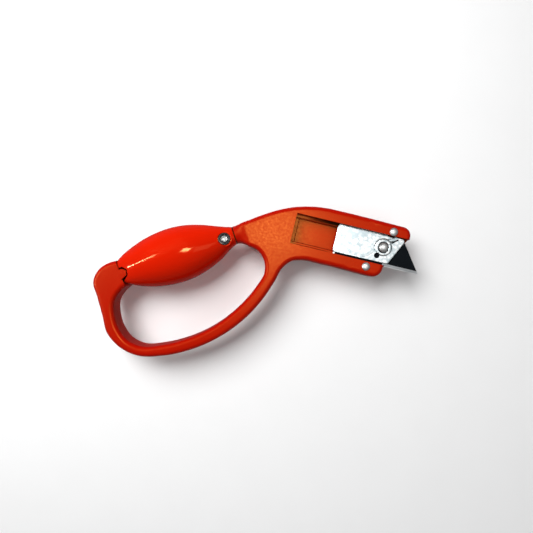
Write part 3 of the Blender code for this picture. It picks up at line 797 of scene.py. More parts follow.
@dataclass(frozen=True)
class Sizes:
    """Sizes that several pieces share, in mm, in the head frame."""

    gap: float = 0.3
    frame_half: float = 8.25
    tip_x: float = 90.6
    blade_edge_y: float = -11.2
    # Short of this x the blade's ground edge is painted black as shade behind the lower arm.
    edge_shade_end_x: float = 65.0
    spare_edge_y: float = -8.0
    carrier_rear: float = 29.3
    travel: float = 29.0
    button: Span = (62.7, 1.5)
    upper_rivet: Span = (66.7, 13.2)
    lower_rivet: Span = (53.7, -14.0)
    grip_rear: Span = (-108.0, -56.7)
    grip_angle: float = 31.1
    grip_length: float = 81.5
    grip_rear_slant: float = 0.065
    grip_control_radii: tuple[float, ...] = (8.5, 20.1, 18.3, 26.1, 11.7, 7.0)
    grip_flatness: float = 0.9
    grip_rise: float = 1.6
    grip_rise_span: Span = (66.0, 79.0)
    screw: Span = (74.5, 0.0)
    tab_top: float = 9.4
    tab_gap: float = 1.3

    def head_origin(self) -> Vector:
        """Where the head frame lies in the row's frame, found from the blade and the guard frame.

        Returns:
            The origin, in metres.
        """
        blade_low, blade_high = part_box("blade")
        frame_low, frame_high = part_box("guard_frame")
        middle = (frame_low.z + frame_high.z) / 2
        return Vector((blade_high.x - self.tip_x * MM, blade_low.y - self.blade_edge_y * MM, middle))

    def grip_origin(self) -> Vector:
        """Where the grip's frame lies in the row's frame."""
        return self.head_origin() + Vector((self.grip_rear[0], self.grip_rear[1], 0.0)) * MM

    def grip_radius(self, t: float) -> float:
        """Half-width of the grip at a distance from the rear joint: a curve of the fifth degree.

        Args:
            t: distance from the rear joint, in mm.

        Returns:
            The half-width, in mm.
        """
        s = min(max(t / self.grip_length, 0.0), 1.0)
        degree = len(self.grip_control_radii) - 1
        return sum(math.comb(degree, i) * s**i * (1 - s)**(degree - i) * radius
                   for i, radius in enumerate(self.grip_control_radii))

    def grip_low(self, t: float) -> float:
        """Half-width of the grip on its lower side, which comes up before the front joint.

        Args:
            t: distance from the rear joint, in mm.

        Returns:
            The half-width, in mm.
        """
        start, end = self.grip_rise_span
        s = min(max((t - start) / (end - start), 0.0), 1.0)
        return self.grip_radius(t) - self.grip_rise * s * s * (3.0 - 2.0 * s)

    def tab_outline(self, gap: float = 0.0) -> Loop:
        """The rear locating tab in the grip's frame, or with a gap the notch that fits round it.

        Args:
            gap: clearance round the tab, in mm, or 0 for the tab itself.

        Returns:
            The outline's points.
        """
        rear = -4.5 if gap > 0 else -0.4
        return traced([(rear, -5.0 - gap, 0), (0.9 + gap * 0.4, -5.0 - gap, 0.8),
                       (4.2 + gap, -3.3 - gap * 0.4, 0.8), (4.6 + gap, -0.2 + gap * 0.3, 0.8),
                       (2.4 + gap * 0.4, 1.5 + gap, 0.8), (rear, 1.5 + gap, 0)])


# ------------------------------------------------------------------ guard frame

@dataclass
class GuardFrame:
    """The one-piece moulding: head, finger guard, stubs and spine."""

    sizes: Sizes
    rim: float = 3.0
    neck_length: float = 9.0
    neck_reach: float = 16.0
    stub_reach: float = 7.0
    channel: Span = (-10.5, 10.6)
    channel_end: float = 95.0
    channel_top: float = 12.0
    groove: Span = (-12.9, 12.5)
    ledge_z: float = 2.6
    ledge_edge: float = 8.25
    lip_floor: float = 1.3
    undercut_edge: float = 9.9
    floor_z: float = -0.6
    groove_roof: float = 4.0
    lap: float = 0.4
    notch_half: float = 2.4
    notch_top: float = 2.9
    rivet_hole_radius: float = 2.3
    screw_hole_radius: float = 1.8
    spine_half: float = 2.0
    spine_inset: float = 3.0
    mark_radius: float = 2.7
    mark_depth: float = 0.1
    marks: tuple[Span, ...] = ((50.7, 14.1), (42.8, -14.8))
    line_clear: float = 0.1
    hair: float = 0.02
    line_width: float = 0.45
    line_depth: float = 0.6
    floor_line_x: float = 2.6
    floor_line_half: float = 7.9
    blade_slot_y: Span = (-11.8, -9.0)
    blade_slot_z: Span = (4.7, 5.9)

    def outline(self) -> Loop:
        """The whole frame in plan.

        Returns:
            The outline's points.
        """
        grip_front_top = (-46.3, -10.9, 0)
        back_of_tool = [(-41.6, -8.0), (-32.2, -2.4), (-22.7, 4.1), (-12.8, 9.9), (-2.6, 14.4),
                        (8.1, 17.3), (18.9, 18.8), (30.0, 19.0)]
        arm_tips = [(79.3, 18.4, 6.0), (79.3, 10.9, 0), (65.9, -11.6, 0), (65.4, -19.9, 7.0)]
        under_head = [(24.0, -19.3), (11.0, -19.8), (3.9, -22.4), (-1.1, -28.5), (-3.8, -37.7)]
        outer_guard = [(-9.0, -52.0), (-16.8, -66.3), (-29.4, -81.9), (-48.5, -97.1), (-66.9, -106.0),
                       (-84.7, -109.9), (-98.0, -106.6), (-107.7, -99.4), (-113.4, -88.7),
                       (-119.7, -77.3), (-125.0, -67.2), (-122.9, -58.1), (-117.0, -52.2),
                       (-112.3, -49.5)]
        grip_rear = [(-109.1, -46.2, 0), (-98.5, -62.0, 0)]
        inner_guard = [(-101.7, -64.8), (-105.4, -70.1), (-107.6, -77.5), (-105.4, -86.3),
                       (-100.0, -95.2), (-92.9, -101.0), (-84.0, -103.0), (-68.7, -98.7), (-53.0, -90.4),
                       (-38.2, -78.8), (-24.6, -62.3), (-15.4, -44.7), (-12.3, -34.0), (-14.3, -26.6),
                       (-20.9, -20.3), (-29.3, -19.5), (-34.8, -20.9)]
        grip_front_bottom = (-38.9, -23.2, 0)
        return traced([grip_front_top, *back_of_tool, *arm_tips, *under_head, *outer_guard, *grip_rear,
                       *inner_guard, grip_front_bottom])

    def spine_outline(self) -> Loop:
        """The flat spine inside the grip, in the grip's frame.

        Returns:
            The outline's points.
        """
        length = self.sizes.grip_length
        stations = [length * k / 20 for k in range(21)]
        edges = []
        for sign, reach in ((1.0, self.sizes.grip_radius), (-1.0, self.sizes.grip_low)):
            edge = [Vector((t, sign * (reach(t) - self.spine_inset))) for t in stations]
            edges.append([Vector((-5.0, edge[0].y)), *edge, Vector((length + 5.0, edge[-1].y))])
        return [*edges[0], *reversed(edges[1])]

    def round_neck(self, piece: Piece) -> None:
        """Blends the frame's section into the grip's oval one at the front joint.

        Args:
            piece: the frame's moulding.
        """
        turn = Matrix.Rotation(math.radians(self.sizes.grip_angle), 3, "Z")
        along, side = turn @ Vector((1.0, 0.0, 0.0)), turn @ Vector((0.0, 1.0, 0.0))
        joint = self.sizes.grip_origin() + along * self.sizes.grip_length * MM
        upright = Vector((0.0, 0.0, 1.0))
        upper = self.sizes.grip_radius(self.sizes.grip_length)
        lower = self.sizes.grip_low(self.sizes.grip_length)
        oval = Vector(((upper + lower) / 2, upper * self.sizes.grip_flatness + 0.4))
        middle = (upper - lower) / 2
        bm = bmesh.new()
        bm.from_mesh(piece.data)
        step, rise = 0.8 * MM, 0.75 * MM
        cuts = [(joint + along * (0.3 * MM + step * k), along) for k in range(-2, 12)]
        cuts += [(joint + side * step * k, side) for k in range(-7, 8)]
        cuts += [(joint + upright * rise * k, upright) for k in range(-6, 7)]
        for spot, normal in cuts:
            near = [face for face in bm.faces
                    if (face.calc_center_median() - joint).length < 2.2 * self.neck_length * MM
                    or min((vert.co - joint).length for vert in face.verts) < 1.6 * self.neck_length * MM]
            geometry = near + list({edge for face in near for edge in face.edges})
            geometry += list({vert for face in near for vert in face.verts})
            bmesh.ops.bisect_plane(bm, geom=geometry, plane_co=spot, plane_no=normal, dist=1e-7)
        for vert in bm.verts:
            away = vert.co - joint
            distance = away.dot(along) / MM
            beside = (away - along * distance * MM).length / MM
            if not -self.stub_reach < distance < self.neck_length or beside > self.neck_reach:
                continue
            across = Vector((away.dot(side) / MM - middle, away.z / MM))
            if across.length < 0.001:
                continue
            blend = 1.0 - max(0.0, distance) / self.neck_length
            blend = blend * blend * (3.0 - 2.0 * blend)
            reach = 1.0 / Vector((across.x / oval.x, across.y / oval.y)).length
            wanted = across * ((1.0 - blend) + blend * reach)
            vert.co = joint + (along * distance + side * (wanted.x + middle) + upright * wanted.y) * MM
        bm.to_mesh(piece.data)
        bm.free()

    def cut_channel(self, piece: Piece, head: Workshop) -> None:
        """Cuts the stepped blade channel and the lock leaf's notches.

        Args:
            piece: the frame's moulding.
            head: the bench in the head frame.
        """
        end = self.channel_end
        slots = {
            "opening": (self.channel, self.ledge_z + self.lap, self.channel_top),
            "groove": (self.groove, self.ledge_z, self.groove_roof),
            "middle": ((-self.ledge_edge, self.ledge_edge), self.lip_floor - self.lap,
                       self.ledge_z + self.lap / 2),
            "undercut": ((-self.undercut_edge, self.undercut_edge), self.floor_z, self.lip_floor),
        }
        for name, ((low_y, high_y), low, high) in slots.items():
            work(piece, head.block(name, (0.0, low_y, low), (end, high_y, high)), Fit.CUT)
        for shift in (0.0, self.sizes.travel):
            u = self.sizes.button[0] - shift
            low = (u - self.notch_half, -self.undercut_edge, 0.0)
            high = (u + self.notch_half, self.undercut_edge, self.notch_top)
            work(piece, head.block("notch", low, high), Fit.CUT)

    def fine_lines(self) -> list[tuple[Corner, Corner]]:
        """The fine grooves along the channel's walls, ledges and floor, and the blade's slot.

        Returns:
            The low and the high corner of each, in mm, in the head frame.
        """
        clear, end, width, depth = self.line_clear, self.channel_end, self.line_width, self.line_depth
        wall, ledge, half = self.channel[0], self.ledge_edge, self.floor_line_half
        lines = [((clear, low_y, self.ledge_z - depth), (end, high_y, self.ledge_z + depth))
                 for low_y, high_y in ((wall + self.hair, wall + width), (-ledge - width, -ledge - clear),
                                       (ledge + clear, ledge + width))]
        lines += [((low_x, -half, self.floor_z - depth), (high_x, half, self.floor_z + depth))
                  for low_x, high_x in ((self.floor_line_x, self.floor_line_x + width), (self.hair, width))]
        slot_y, slot_z = self.blade_slot_y, self.blade_slot_z
        lines.append(((clear, slot_y[0], slot_z[0]), (end, slot_y[1], slot_z[1])))
        return lines

    def build(self, material: Material) -> Piece:
        """Makes the frame.

        Args:
            material: the frame's plastic.

        Returns:
            The frame.
        """
        head = Workshop(self.sizes.head_origin())
        grip = Workshop(self.sizes.grip_origin(), self.sizes.grip_angle)
        half = self.sizes.frame_half
        piece = head.plate("frame_moulding", [self.outline()], -half, half, self.rim, 7)
        self.round_neck(piece)
        self.cut_channel(piece, head)
        for spot in (self.sizes.upper_rivet, self.sizes.lower_rivet):
            hole = head.rod("rivet_hole", spot, self.rivet_hole_radius, -12.0, 12.0, 48)
            work(piece, hole, Fit.CUT)
        for spot in self.marks:
            mark = head.rod("mark", spot, self.mark_radius, half - self.mark_depth, half + 1.0, 48)
            work(piece, mark, Fit.CUT)
        reach, length = 24.0, self.sizes.grip_length
        lean = reach * self.sizes.grip_rear_slant
        grip_gap = [Vector((lean, -reach)), Vector((length, -reach)), Vector((length, reach)),
                    Vector((-lean, reach))]
        work(piece, grip.plate("grip_gap", [grip_gap], -20.0, 20.0), Fit.CUT)
        spine = grip.plate("spine", [self.spine_outline()], -self.spine_half, self.spine_half)
        work(piece, spine, Fit.JOIN)
        tab = grip.plate("tab", [self.sizes.tab_outline()], -self.sizes.tab_top, self.sizes.tab_top)
        work(piece, tab, Fit.JOIN)
        hole = grip.rod("screw_hole", self.sizes.screw, self.screw_hole_radius, -10.0, 10.0, 32)
        work(piece, hole, Fit.CUT)
        soften(piece, 0.22, 42.0)
        for low, high in self.fine_lines():
            work(piece, head.block("fine_line", low, high), Fit.CUT)
        soften(piece, 0.0, 42.0)
        return dress(piece, material, Slot.FRAME_PLASTIC, Body.FRAME, "guard_frame")


# ------------------------------------------------------------------ grip

@dataclass
class Grip:
    """Two hollow half-shells of the spindle grip, with the screw and cup washer; the back half holds a pocket
    for the nut.
    """

    sizes: Sizes
    wall: float = 2.0
    rear_squareness: float = 3.4
    rear_blend: float = 14.0
    slant_fade: float = 25.0
    boss_radius: float = 5.2
    cover_boss: Span = (2.6, 7.4)
    back_boss: Span = (-7.7, -2.6)
    seat: float = 4.6
    washer_radius: float = 4.0
    nut_radius: float = 3.1
    nut_seat: float = -5.0
    screw_radius: float = 1.5
    along_count: int = 120
    round_count: int = 64

    def skin_spot(self, t: float, angle: float) -> Vector:
        """A point of the grip's skin: a rounded square at the rear that turns oval further on.

        Args:
            t: distance from the rear joint, in mm.
            angle: 0 at the lower side to pi at the upper one, in radians.

        Returns:
            The point in the grip's frame, in mm.
        """
        blend = max(0.0, 1.0 - t / self.rear_blend)
        power = 2.0 + (self.rear_squareness - 2.0) * blend * blend
        across, up = -math.cos(angle), math.sin(angle)
        scale = 1.0 / (abs(across)**power + abs(up)**power)**(1.0 / power)
        width = scale * across * (self.sizes.grip_radius(t) if across > 0.0 else self.sizes.grip_low(t))
        fade = max(0.0, 1.0 - t / self.slant_fade)
        lean = self.sizes.grip_rear_slant * width * fade * fade
        return Vector((t - lean, width, scale * up * self.sizes.grip_radius(t) * self.sizes.grip_flatness))

    def half_shell(self, name: str, sign: int, bench: Workshop) -> Piece:
        """One half as an open skin on the +Z or -Z side, thickened inwards and trimmed at the rim.

        Args:
            name: the piece's name.
            sign: 1 for the front half and -1 for the back one.
            bench: the bench in the grip's frame.

        Returns:
            The half-shell.
        """
        gap, length = self.sizes.gap, self.sizes.grip_length
        bm = bmesh.new()
        bmesh.ops.create_grid(bm, x_segments=self.along_count, y_segments=self.round_count, size=1.0)
        for vert in bm.verts:
            t = gap + (length - 2 * gap) * (vert.co.x + 1.0) / 2.0
            spot = self.skin_spot(t, math.pi * (vert.co.y + 1.0) / 2.0)
            vert.co = (spot.x, spot.y, sign * (spot.z + gap / 2))
        shell = bench.put(name, bm)
        middle = shell.data.polygons[len(shell.data.polygons) // 2]
        wall = shell.modifiers.new("wall", "SOLIDIFY")
        wall.thickness = self.wall * MM
        wall.offset = -1.0 if middle.normal.z * sign > 0 else 1.0
        wall.use_even_offset = True
        settle(shell)
        edge = sign * gap / 2
        low, high = sorted((edge, -sign * 3.0))
        work(shell, bench.block("rim", (-3.0, -23.0, low), (length + 3.0, 23.0, high)), Fit.CUT)
        return shell

    def cover(self, material: Material, bench: Workshop) -> Piece:
        """The front half, notched round the tab and bossed for the screw.

        Args:
            material: the grip's plastic.
            bench: the bench in the grip's frame.

        Returns:
            The cover.
        """
        shell = self.half_shell("cover_moulding", 1, bench)
        spot, clear = self.sizes.screw, self.screw_radius + self.sizes.gap
        work(shell, bench.rod("boss", spot, self.boss_radius, *self.cover_boss), Fit.JOIN)
        work(shell, bench.rod("seat", spot, self.washer_radius + self.sizes.gap, self.seat, 14.0), Fit.CUT)
        work(shell, bench.rod("hole", spot, clear, 1.0, 9.0, 32), Fit.CUT)
        notch = bench.plate("notch", [self.sizes.tab_outline(self.sizes.tab_gap)], -1.0, 14.0)
        work(shell, notch, Fit.CUT)
        soften(shell, 0.18, 48.0)
        return dress(shell, material, Slot.GRIP_PLASTIC, Body.COVER, "grip_cover")

    def back(self, material: Material, bench: Workshop) -> Piece:
        """The back half, with the nut's pocket.

        Args:
            material: the grip's plastic.
            bench: the bench in the grip's frame.

        Returns:
            The back shell.
        """
        shell = self.half_shell("back_shell_moulding", -1, bench)
        spot, clear = self.sizes.screw, self.screw_radius + self.sizes.gap
        work(shell, bench.rod("boss", spot, self.boss_radius, *self.back_boss), Fit.JOIN)
        work(shell, bench.rod("pocket", spot, self.nut_radius + 0.45, -14.0, self.nut_seat, 6), Fit.CUT)
        work(shell, bench.rod("hole", spot, clear, -9.0, -1.0, 32), Fit.CUT)
        notch = bench.plate("notch", [self.sizes.tab_outline(self.sizes.tab_gap)], -14.0, 1.0)
        work(shell, notch, Fit.CUT)
        soften(shell, 0.18, 48.0)
        return dress(shell, material, Slot.GRIP_PLASTIC, Body.FRAME, "grip_back_shell")

    def screw(self, material: Material, bench: Workshop) -> Piece:
        """Socket-head screw with a domed head.

        Args:
            material: the screw's steel.
            bench: the bench in the grip's frame.

        Returns:
            The screw.
        """
        low = self.seat + 2 * self.sizes.gap + 0.6
        top = low + 2.4
        shank = self.screw_radius
        profile = [(0.0, top), (1.9, top), (2.35, top - 0.12), (2.62, top - 0.4), (2.7, top - 0.8),
                   (2.7, low), (shank, low), (shank, -7.0), (shank - 0.4, -7.4), (0.0, -7.4)]
        piece = bench.lathe("socket_screw", self.sizes.screw, profile)
        work(piece, bench.rod("socket", self.sizes.screw, 1.5, low + 0.9, 20.0, 6), Fit.CUT)
        soften(piece, 0.06, 50.0)
        return dress(piece, material, Slot.BRIGHT_STEEL, Body.SCREW, "grip_screw")

    def washer(self, material: Material, bench: Workshop) -> Piece:
        """Cup washer that lines the screw's seat.

        Args:
            material: the washer's steel.
            bench: the bench in the grip's frame.

        Returns:
            The washer.
        """
        low, outer = self.seat + self.sizes.gap, self.washer_radius
        clear = self.screw_radius + self.sizes.gap
        profile = [(3.25, 8.1), (3.4, 8.2), (outer - 0.2, 8.2), (outer, 8.0), (outer, low), (clear, low),
                   (clear, low + 0.6), (3.2, low + 0.6), (3.2, 8.0)]
        piece = bench.lathe("cup_washer", self.sizes.screw, profile, ring=True)
        soften(piece, 0.0, 40.0)
        return dress(piece, material, Slot.BLACK_STEEL, Body.COVER, "screw_washer")

    def build(self, plastic: Material, bright: Material,
              black: Material) -> None:
        """Makes the grip's pieces.

        Args:
            plastic: finish of both halves.
            bright: finish of the screw.
            black: finish of the washer.
        """
        bench = Workshop(self.sizes.grip_origin(), self.sizes.grip_angle)
        self.cover(plastic, bench)
        self.back(plastic, bench)
        self.screw(bright, bench)
        self.washer(black, bench)


# ------------------------------------------------------------------ carriage

@dataclass
class Carriage:
    """The folded sheet carrier with its thumb button."""

    sizes: Sizes
    back_leaf: Span = (4.0, 4.7)
    front_leaf: Span = (5.9, 6.7)
    back_leaf_corners: tuple[Span, Span] = ((30.0, -8.9), (65.6, 9.5))
    fold_x: Span = (32.0, 65.0)
    fold_y: Span = (9.0, 9.55)
    slit: tuple[Span, Span] = ((66.6, 4.7), (71.2, 8.6))
    slit_width: float = 0.9
    pad_top: float = 7.0
    bead_top: float = 7.3
    bead_radius: float = 6.2
    well_radius: float = 3.9
    hole: Span = (59.5, -4.9)
    hole_radius: float = 1.9
    button_radius: float = 3.3
    skirt_z: float = 7.0
    dome_z: float = 9.7
    stem_radius: float = 1.2

    def leaf_outline(self) -> Loop:
        """The front leaf in plan, with the notch in its folded edge.

        Returns:
            The outline's points.
        """
        rear = self.sizes.carrier_rear
        return traced([(rear, 9.6, 2.0), (rear, -9.1, 2.0), (68.0, -9.1, 1.8), (77.1, 10.2, 1.8),
                       (69.0, 10.2, 0.5), (67.6, 8.0, 0.3), (66.6, 8.0, 0.3), (65.6, 9.6, 0.3)])

    def pad_outline(self) -> Loop:
        """The raised front pad, from the notch past the ring to the low crease.

        Returns:
            The outline's points.
        """
        return traced([(69.3, 9.9, 0.5), (61.9, 5.2, 1.0), (57.4, -1.8, 1.0), (53.8, -6.0), (48.6, -8.8, 0.1),
                       (67.7, -8.8, 1.6), (76.5, 9.9, 1.6)])

    def sheet(self, material: Material, bench: Workshop) -> Piece:
        """The folded sheet.

        Args:
            material: the sheet's finish.
            bench: the bench in the head frame.

        Returns:
            The sheet.
        """
        low, high = self.front_leaf
        spot = self.sizes.button
        piece = bench.plate("carrier_sheet", [self.leaf_outline()], low, high, 0.22, 3)
        work(piece, bench.plate("pad", [self.pad_outline()], low + 0.3, self.pad_top, 0.2, 3), Fit.JOIN)
        bead = [(self.well_radius - 0.5, high - 0.5), (self.well_radius - 0.5, self.bead_top - 0.1)]
        bead += [(self.well_radius + 0.3, self.bead_top), (self.bead_radius - 0.9, self.bead_top)]
        bead += [(self.bead_radius - 0.35, self.bead_top - 0.15), (self.bead_radius, self.pad_top - 0.12)]
        bead += [(self.bead_radius + 0.1, high - 0.1), (self.bead_radius + 0.1, high - 0.5)]
        work(piece, bench.lathe("bead", spot, bead, 72, ring=True), Fit.JOIN)
        fold = bench.block("fold", (self.fold_x[0], self.fold_y[0], self.back_leaf[0] + 0.05),
                           (self.fold_x[1], self.fold_y[1], high - 0.05))
        work(piece, fold, Fit.JOIN)
        (left, lower), (right, upper) = self.back_leaf_corners
        rear_leaf = [Vector((left, lower)), Vector((right, lower)), Vector((right, upper)),
                     Vector((left, upper))]
        work(piece, bench.plate("back_leaf", [rear_leaf], *self.back_leaf), Fit.JOIN)
        work(piece, bench.rod("well", spot, self.well_radius, 5.6, 12.0), Fit.CUT)
        work(piece, bench.rod("stem_hole", spot, self.stem_radius + 0.4, 3.0, 5.6, 32), Fit.CUT)
        work(piece, bench.rod("drain", self.hole, self.hole_radius, 5.3, 12.0, 40), Fit.CUT)
        slit = rounded_slot(*self.slit, self.slit_width)
        work(piece, bench.plate("slit", [slit], 5.6, 12.0), Fit.CUT)
        soften(piece, 0.1, 42.0)
        return dress(piece, material, Slot.ZINC_SHEET, Body.CARRIER, "blade_carrier")

    def button(self, material: Material, bench: Workshop) -> Piece:
        """The domed thumb button on its stepped stem.

        Args:
            material: the button's finish.
            bench: the bench in the head frame.

        Returns:
            The button.
        """
        shoulder = self.skirt_z + 0.9
        rise = self.dome_z - shoulder
        dome = [(self.button_radius * math.sin(a), shoulder + rise * math.cos(a))
                for a in (math.radians(5 * k) for k in range(19))]
        skirt = [(self.button_radius, self.skirt_z + 0.2), (self.button_radius - 0.2, self.skirt_z)]
        stem = [(self.stem_radius, self.skirt_z), (self.stem_radius, 2.6), (0.8, 2.6), (0.8, 0.9), (0.0, 0.9)]
        profile = [*dome, *skirt, *stem]
        piece = bench.lathe("thumb_button", self.sizes.button, profile)
        soften(piece, 0.0, 40.0)
        return dress(piece, material, Slot.BRIGHT_STEEL, Body.BUTTON, "lock_button")

    def build(self, zinc: Material, bright: Material) -> None:
        """Makes the carriage's pieces.

        Args:
            zinc: finish of the sheet.
            bright: finish of the button.
        """
        bench = Workshop(self.sizes.head_origin())
        self.sheet(zinc, bench)
        self.button(bright, bench)


@dataclass
class StopRivets:
    """The two domed rivets through the arms."""

    sizes: Sizes
    head_radius: float = 2.8
    head_rise: float = 1.1
    shank_radius: float = 2.0

    def build(self, material: Material) -> None:
        """Makes both rivets.

        Args:
            material: the rivets' finish.
        """
        bench = Workshop(self.sizes.head_origin())
        seat = self.sizes.frame_half + self.sizes.gap
        dome = [(self.head_radius * math.sin(a), seat + self.head_rise * math.cos(a))
                for a in (math.radians(6 * k) for k in range(16))]
        back = -seat - 0.8 - self.sizes.gap
        shank = [(self.shank_radius, seat), (self.shank_radius, back), (self.shank_radius + 0.6, back),
                 (self.shank_radius + 0.3, back - 0.6), (1.4, back - 0.9), (0.0, back - 0.9)]
        for name, spot in (("upper", self.sizes.upper_rivet), ("lower", self.sizes.lower_rivet)):
            piece = bench.lathe(f"{name}_rivet", spot, dome + shank)
            soften(piece, 0.0, 40.0)
            dress(piece, material, Slot.BRIGHT_STEEL, Body.FRAME, f"{name}_stop_rivet")


# ------------------------------------------------------------------ studio

@dataclass(frozen=True)
class Lamp:
    """A rectangular lamp that faces the tool: the ends of its middle line in mm, its width and its power."""

    name: str
    start: Corner
    end: Corner
    width: float
    power: float
    shines: bool = True
    lights: bool = True

    def hang(self, aim: Vector, origin: Vector) -> None:
        """Puts the lamp up.

        Args:
            aim: the point that it faces, in metres.
            origin: the head frame's origin, in metres.
        """
        start, end = (origin + Vector(spot) * MM for spot in (self.start, self.end))
        data = bpy.data.lights.new(self.name, "AREA")
        data.shape = "RECTANGLE"
        data.size, data.size_y = (end - start).length, self.width * MM
        data.energy = self.power
        lamp = bpy.data.objects.new(self.name, data)
        back = ((start + end) / 2 - aim).normalized()
        side = back.cross(end - start).normalized()
        along = side.cross(back)
        turn = Matrix((along, side, back)).transposed()
        lamp.matrix_world = Matrix.Translation((start + end) / 2) @ turn.to_4x4()
        lamp.visible_glossy = self.shines
        lamp.visible_diffuse = self.lights
        bpy.context.scene.collection.objects.link(lamp)


@dataclass
class Studio:
    """Floor, soft light and the camera straight above the tool."""

    sizes: Sizes
    camera_spot: Span = (-11.85, -29.8)
    camera_height: float = 260.0
    camera_roll: float = 13.5
    view_width: float = 362.0
    sensor: float = 36.0
    surround: str = "#F6F7F8"
    surround_strength: float = 0.12
    lamps: tuple[Lamp, ...] = (
        Lamp("key", (-560.0, 20.0, 520.0), (-220.0, 420.0, 560.0), 480.0, 7.4, shines=False),
        Lamp("fill", (420.0, 120.0, 500.0), (240.0, -420.0, 520.0), 500.0, 0.85, shines=False),
        Lamp("overhead", (-85.0, 52.0, 608.0), (35.0, 52.0, 608.0), 110.0, 1.6, lights=False),
        Lamp("card", (120.0, 30.0, 608.0), (340.0, 90.0, 608.0), 200.0, 0.19, lights=False),
        Lamp("tube", (-524.0, -226.0, 231.0), (-366.0, -13.0, 428.0), 14.0, 1.2, lights=False),
    )

    def floor(self) -> None:
        """The pale table top."""
        bm = bmesh.new()
        bmesh.ops.create_grid(bm, x_segments=1, y_segments=1, size=4.0)
        mesh = bpy.data.meshes.new("table_top")
        bm.to_mesh(mesh)
        bm.free()
        top = bpy.data.objects.new("table_top", mesh)
        bpy.context.scene.collection.objects.link(top)
        mesh.materials.append(PaleTableTop("white_laminate").make())
        top.visible_glossy = False

    def camera(self) -> None:
        """The camera, looking straight down, turned so that the head slopes down to the right."""
        data = bpy.data.cameras.new("overhead")
        data.sensor_width = self.sensor
        data.lens = self.sensor * self.camera_height / self.view_width
        data.clip_start = 0.01
        camera = bpy.data.objects.new("overhead", data)
        height = self.sizes.frame_half + self.camera_height
        camera.location = self.sizes.head_origin() + Vector((*self.camera_spot, height)) * MM
        camera.rotation_euler = (0.0, 0.0, math.radians(self.camera_roll))
        bpy.context.scene.collection.objects.link(camera)
        bpy.context.scene.camera = camera

    def light(self) -> None:
        """Lamps round the tool, an even pale surround, and plain tones in the picture."""
        origin = self.sizes.head_origin()
        aim = origin + Vector((-35.0, -40.0, 0.0)) * MM
        for lamp in self.lamps:
            lamp.hang(aim, origin)
        world = bpy.data.worlds.new("surround")
        world.use_nodes = True
        backdrop = world.node_tree.nodes["Background"]
        backdrop.inputs["Color"].default_value = linear(self.surround)
        backdrop.inputs["Strength"].default_value = self.surround_strength
        bpy.context.scene.world = world
        bpy.context.scene.view_settings.view_transform = "Standard"

    def build(self) -> None:
        """Sets the studio up."""
        self.floor()
        self.camera()
        self.light()


# ------------------------------------------------------------------ the knife

def painted_shade_places(sizes: Sizes) -> tuple[PaintedShade, ...]:
    """Where shade is painted onto the frame as near-black colour.

    Args:
        sizes: the shared sizes.

    Returns:
        Boxes round the tab, in both joints of the grip and along the channel's walls, ledges and floor.
    """
    head, grip = sizes.head_origin() / MM, sizes.grip_origin() / MM
    turn = math.radians(sizes.grip_angle)
    along = Vector((math.cos(turn), math.sin(turn), 0.0))
    side = Vector((-math.sin(turn), math.cos(turn), 0.0))
    tab = grip + along * 3.5 - side * 1.8
    front = grip + along * (sizes.grip_length + 0.1)
    rear_turn = sizes.grip_angle + math.degrees(math.atan(sizes.grip_rear_slant))
    # Painted shade in the gap round the tab and in the grip's front and rear joints.
    places = [PaintedShade(tuple(tab), (3.35, 5.8, 9.1), sizes.grip_angle, 0.98, 0.02),
              PaintedShade(tuple(front), (0.5, 9.0, 9.5), sizes.grip_angle, 0.97, 0.3),
              PaintedShade(tuple(grip), (0.5, 10.0, 8.6), rear_turn, 0.97, 0.3)]
    # Painted shade and shadow in the channel, from its floor up to the head's face: centre and half size in
    # plan, darkness and fade.
    middle_z, half_z = 3.6, 4.3
    in_channel = (((47.0, 10.0), (47.3, 1.5), 0.96, 0.5),    # upper wall
                  ((47.0, 8.25), (47.3, 0.3), 0.75, 0.6),    # upper ledge
                  ((61.5, -9.8), (32.0, 1.1), 0.98, 0.2),    # lower wall beside the blade
                  ((15.0, -9.95), (15.3, 0.38), 0.85, 0.5),  # lower wall behind the carrier
                  ((15.0, -8.35), (15.3, 0.34), 0.70, 0.6),  # lower ledge
                  ((0.45, 0.0), (0.42, 10.6), 0.85, 0.5),    # rear wall
                  ((2.85, 0.0), (0.32, 9.0), 0.55, 0.6),     # line across the floor
                  ((29.0, 0.0), (0.5, 9.5), 0.7, 0.4))       # under the carrier's rear edge
    for (x, y), half, darkness, fade in in_channel:
        centre = head + Vector((x, y, middle_z))
        places.append(PaintedShade(tuple(centre), (*half, half_z), 0.0, darkness, fade))
    return tuple(places)


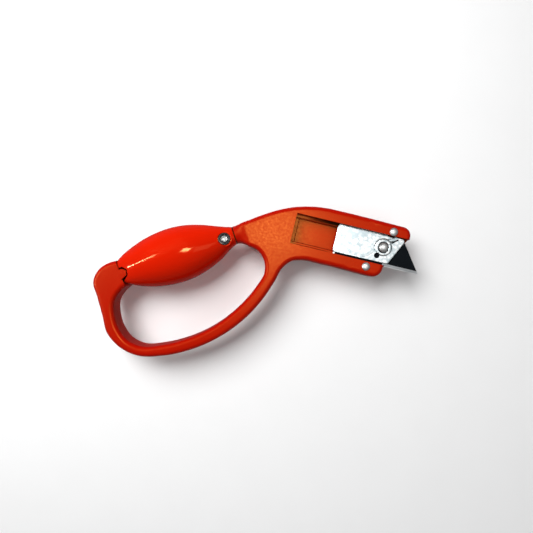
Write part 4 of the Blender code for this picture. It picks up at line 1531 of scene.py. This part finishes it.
def main() -> None:
    """Builds the studio and the knife's pieces in order."""
    logging.basicConfig(level=logging.INFO, format="%(message)s")
    sizes = Sizes()
    frame_abs = MouldedPlastic("moulded_abs_satin", "#AC0A01", "#A20801",
                               roughness=0.33, roughness_spread=0.05,
                               peel_mm=0.9, peel_depth_mm=0.006, wave_mm=14.0, wave_depth_mm=0.05,
                               specular=0.5, specular_tint="#FFA24A", painted_shades=painted_shade_places(sizes))
    grip_abs = MouldedPlastic("moulded_abs_gloss", "#CC1A01", "#C21601",
                              roughness=0.10, roughness_spread=0.02,
                              peel_mm=2.2, peel_depth_mm=0.004, wave_mm=11.0, wave_depth_mm=0.05,
                              specular=0.45, specular_tint="#FFB070")
    zinc = ZincPlatedSheet("zinc_plated_sheet").make()
    nickel = WorkedMetal("nickelled_steel", "#E6E6E4", "#CFCFCD", 0.14, 0.8).make()
    black = WorkedMetal("black_oxide_steel", "#0B0B0C", "#1A1A1C", 0.30, 0.6, metallic=0.0).make()
    spring = WorkedMetal("spring_steel_strip", "#7E8288", "#5E636B", 0.28, 0.7).make()
    brass = WorkedMetal("turned_brass", "#D9B25C", "#B98F3F", 0.24, 0.5).make()
    grey = WorkedMetal("plain_steel_socket_head", "#8E8E8C", "#6E6E6C", 0.30, 0.8).make()
    silver = WorkedMetal("satin_nickelled_steel", "#F4F4F2", "#E6E6E4", 0.46, 0.8).make()
    # Where the painted shade on the blade's ground edge ends, in the row's frame.
    edge_shade_end = sizes.head_origin().x / MM + sizes.edge_shade_end_x
    edge_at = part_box("blade")[0].y / MM
    edge = BlackenedBlade("blackened_blade", (0.0, 1.0, 0.0), edge_at, edge_shade_end).make()
    turn = math.radians(sizes.grip_angle)
    across = Vector((-math.sin(turn), math.cos(turn), 0.0))
    spare_edge = across.dot(sizes.grip_origin()) / MM + sizes.spare_edge_y
    spare = BlackenedBlade("blackened_spare_blade", tuple(across), spare_edge).make()

    Studio(sizes).build()
    GuardFrame(sizes).build(frame_abs.make())
    Grip(sizes).build(grip_abs.make(), grey, black)
    Carriage(sizes).build(zinc, silver)
    StopRivets(sizes).build(silver)
    kept = {"blade": edge, "spare_blade_1": spare, "spare_blade_2": spare, "spare_blade_3": spare,
            "slide_plate": zinc, "lock_leaf": spring, "leaf_rivet": nickel, "button_clip": spring,
            "grip_nut": brass, "upper_rivet_washer": zinc, "lower_rivet_washer": zinc}
    for node, material in kept.items():
        recoat(node, material)


if __name__ == "__main__":
    main()
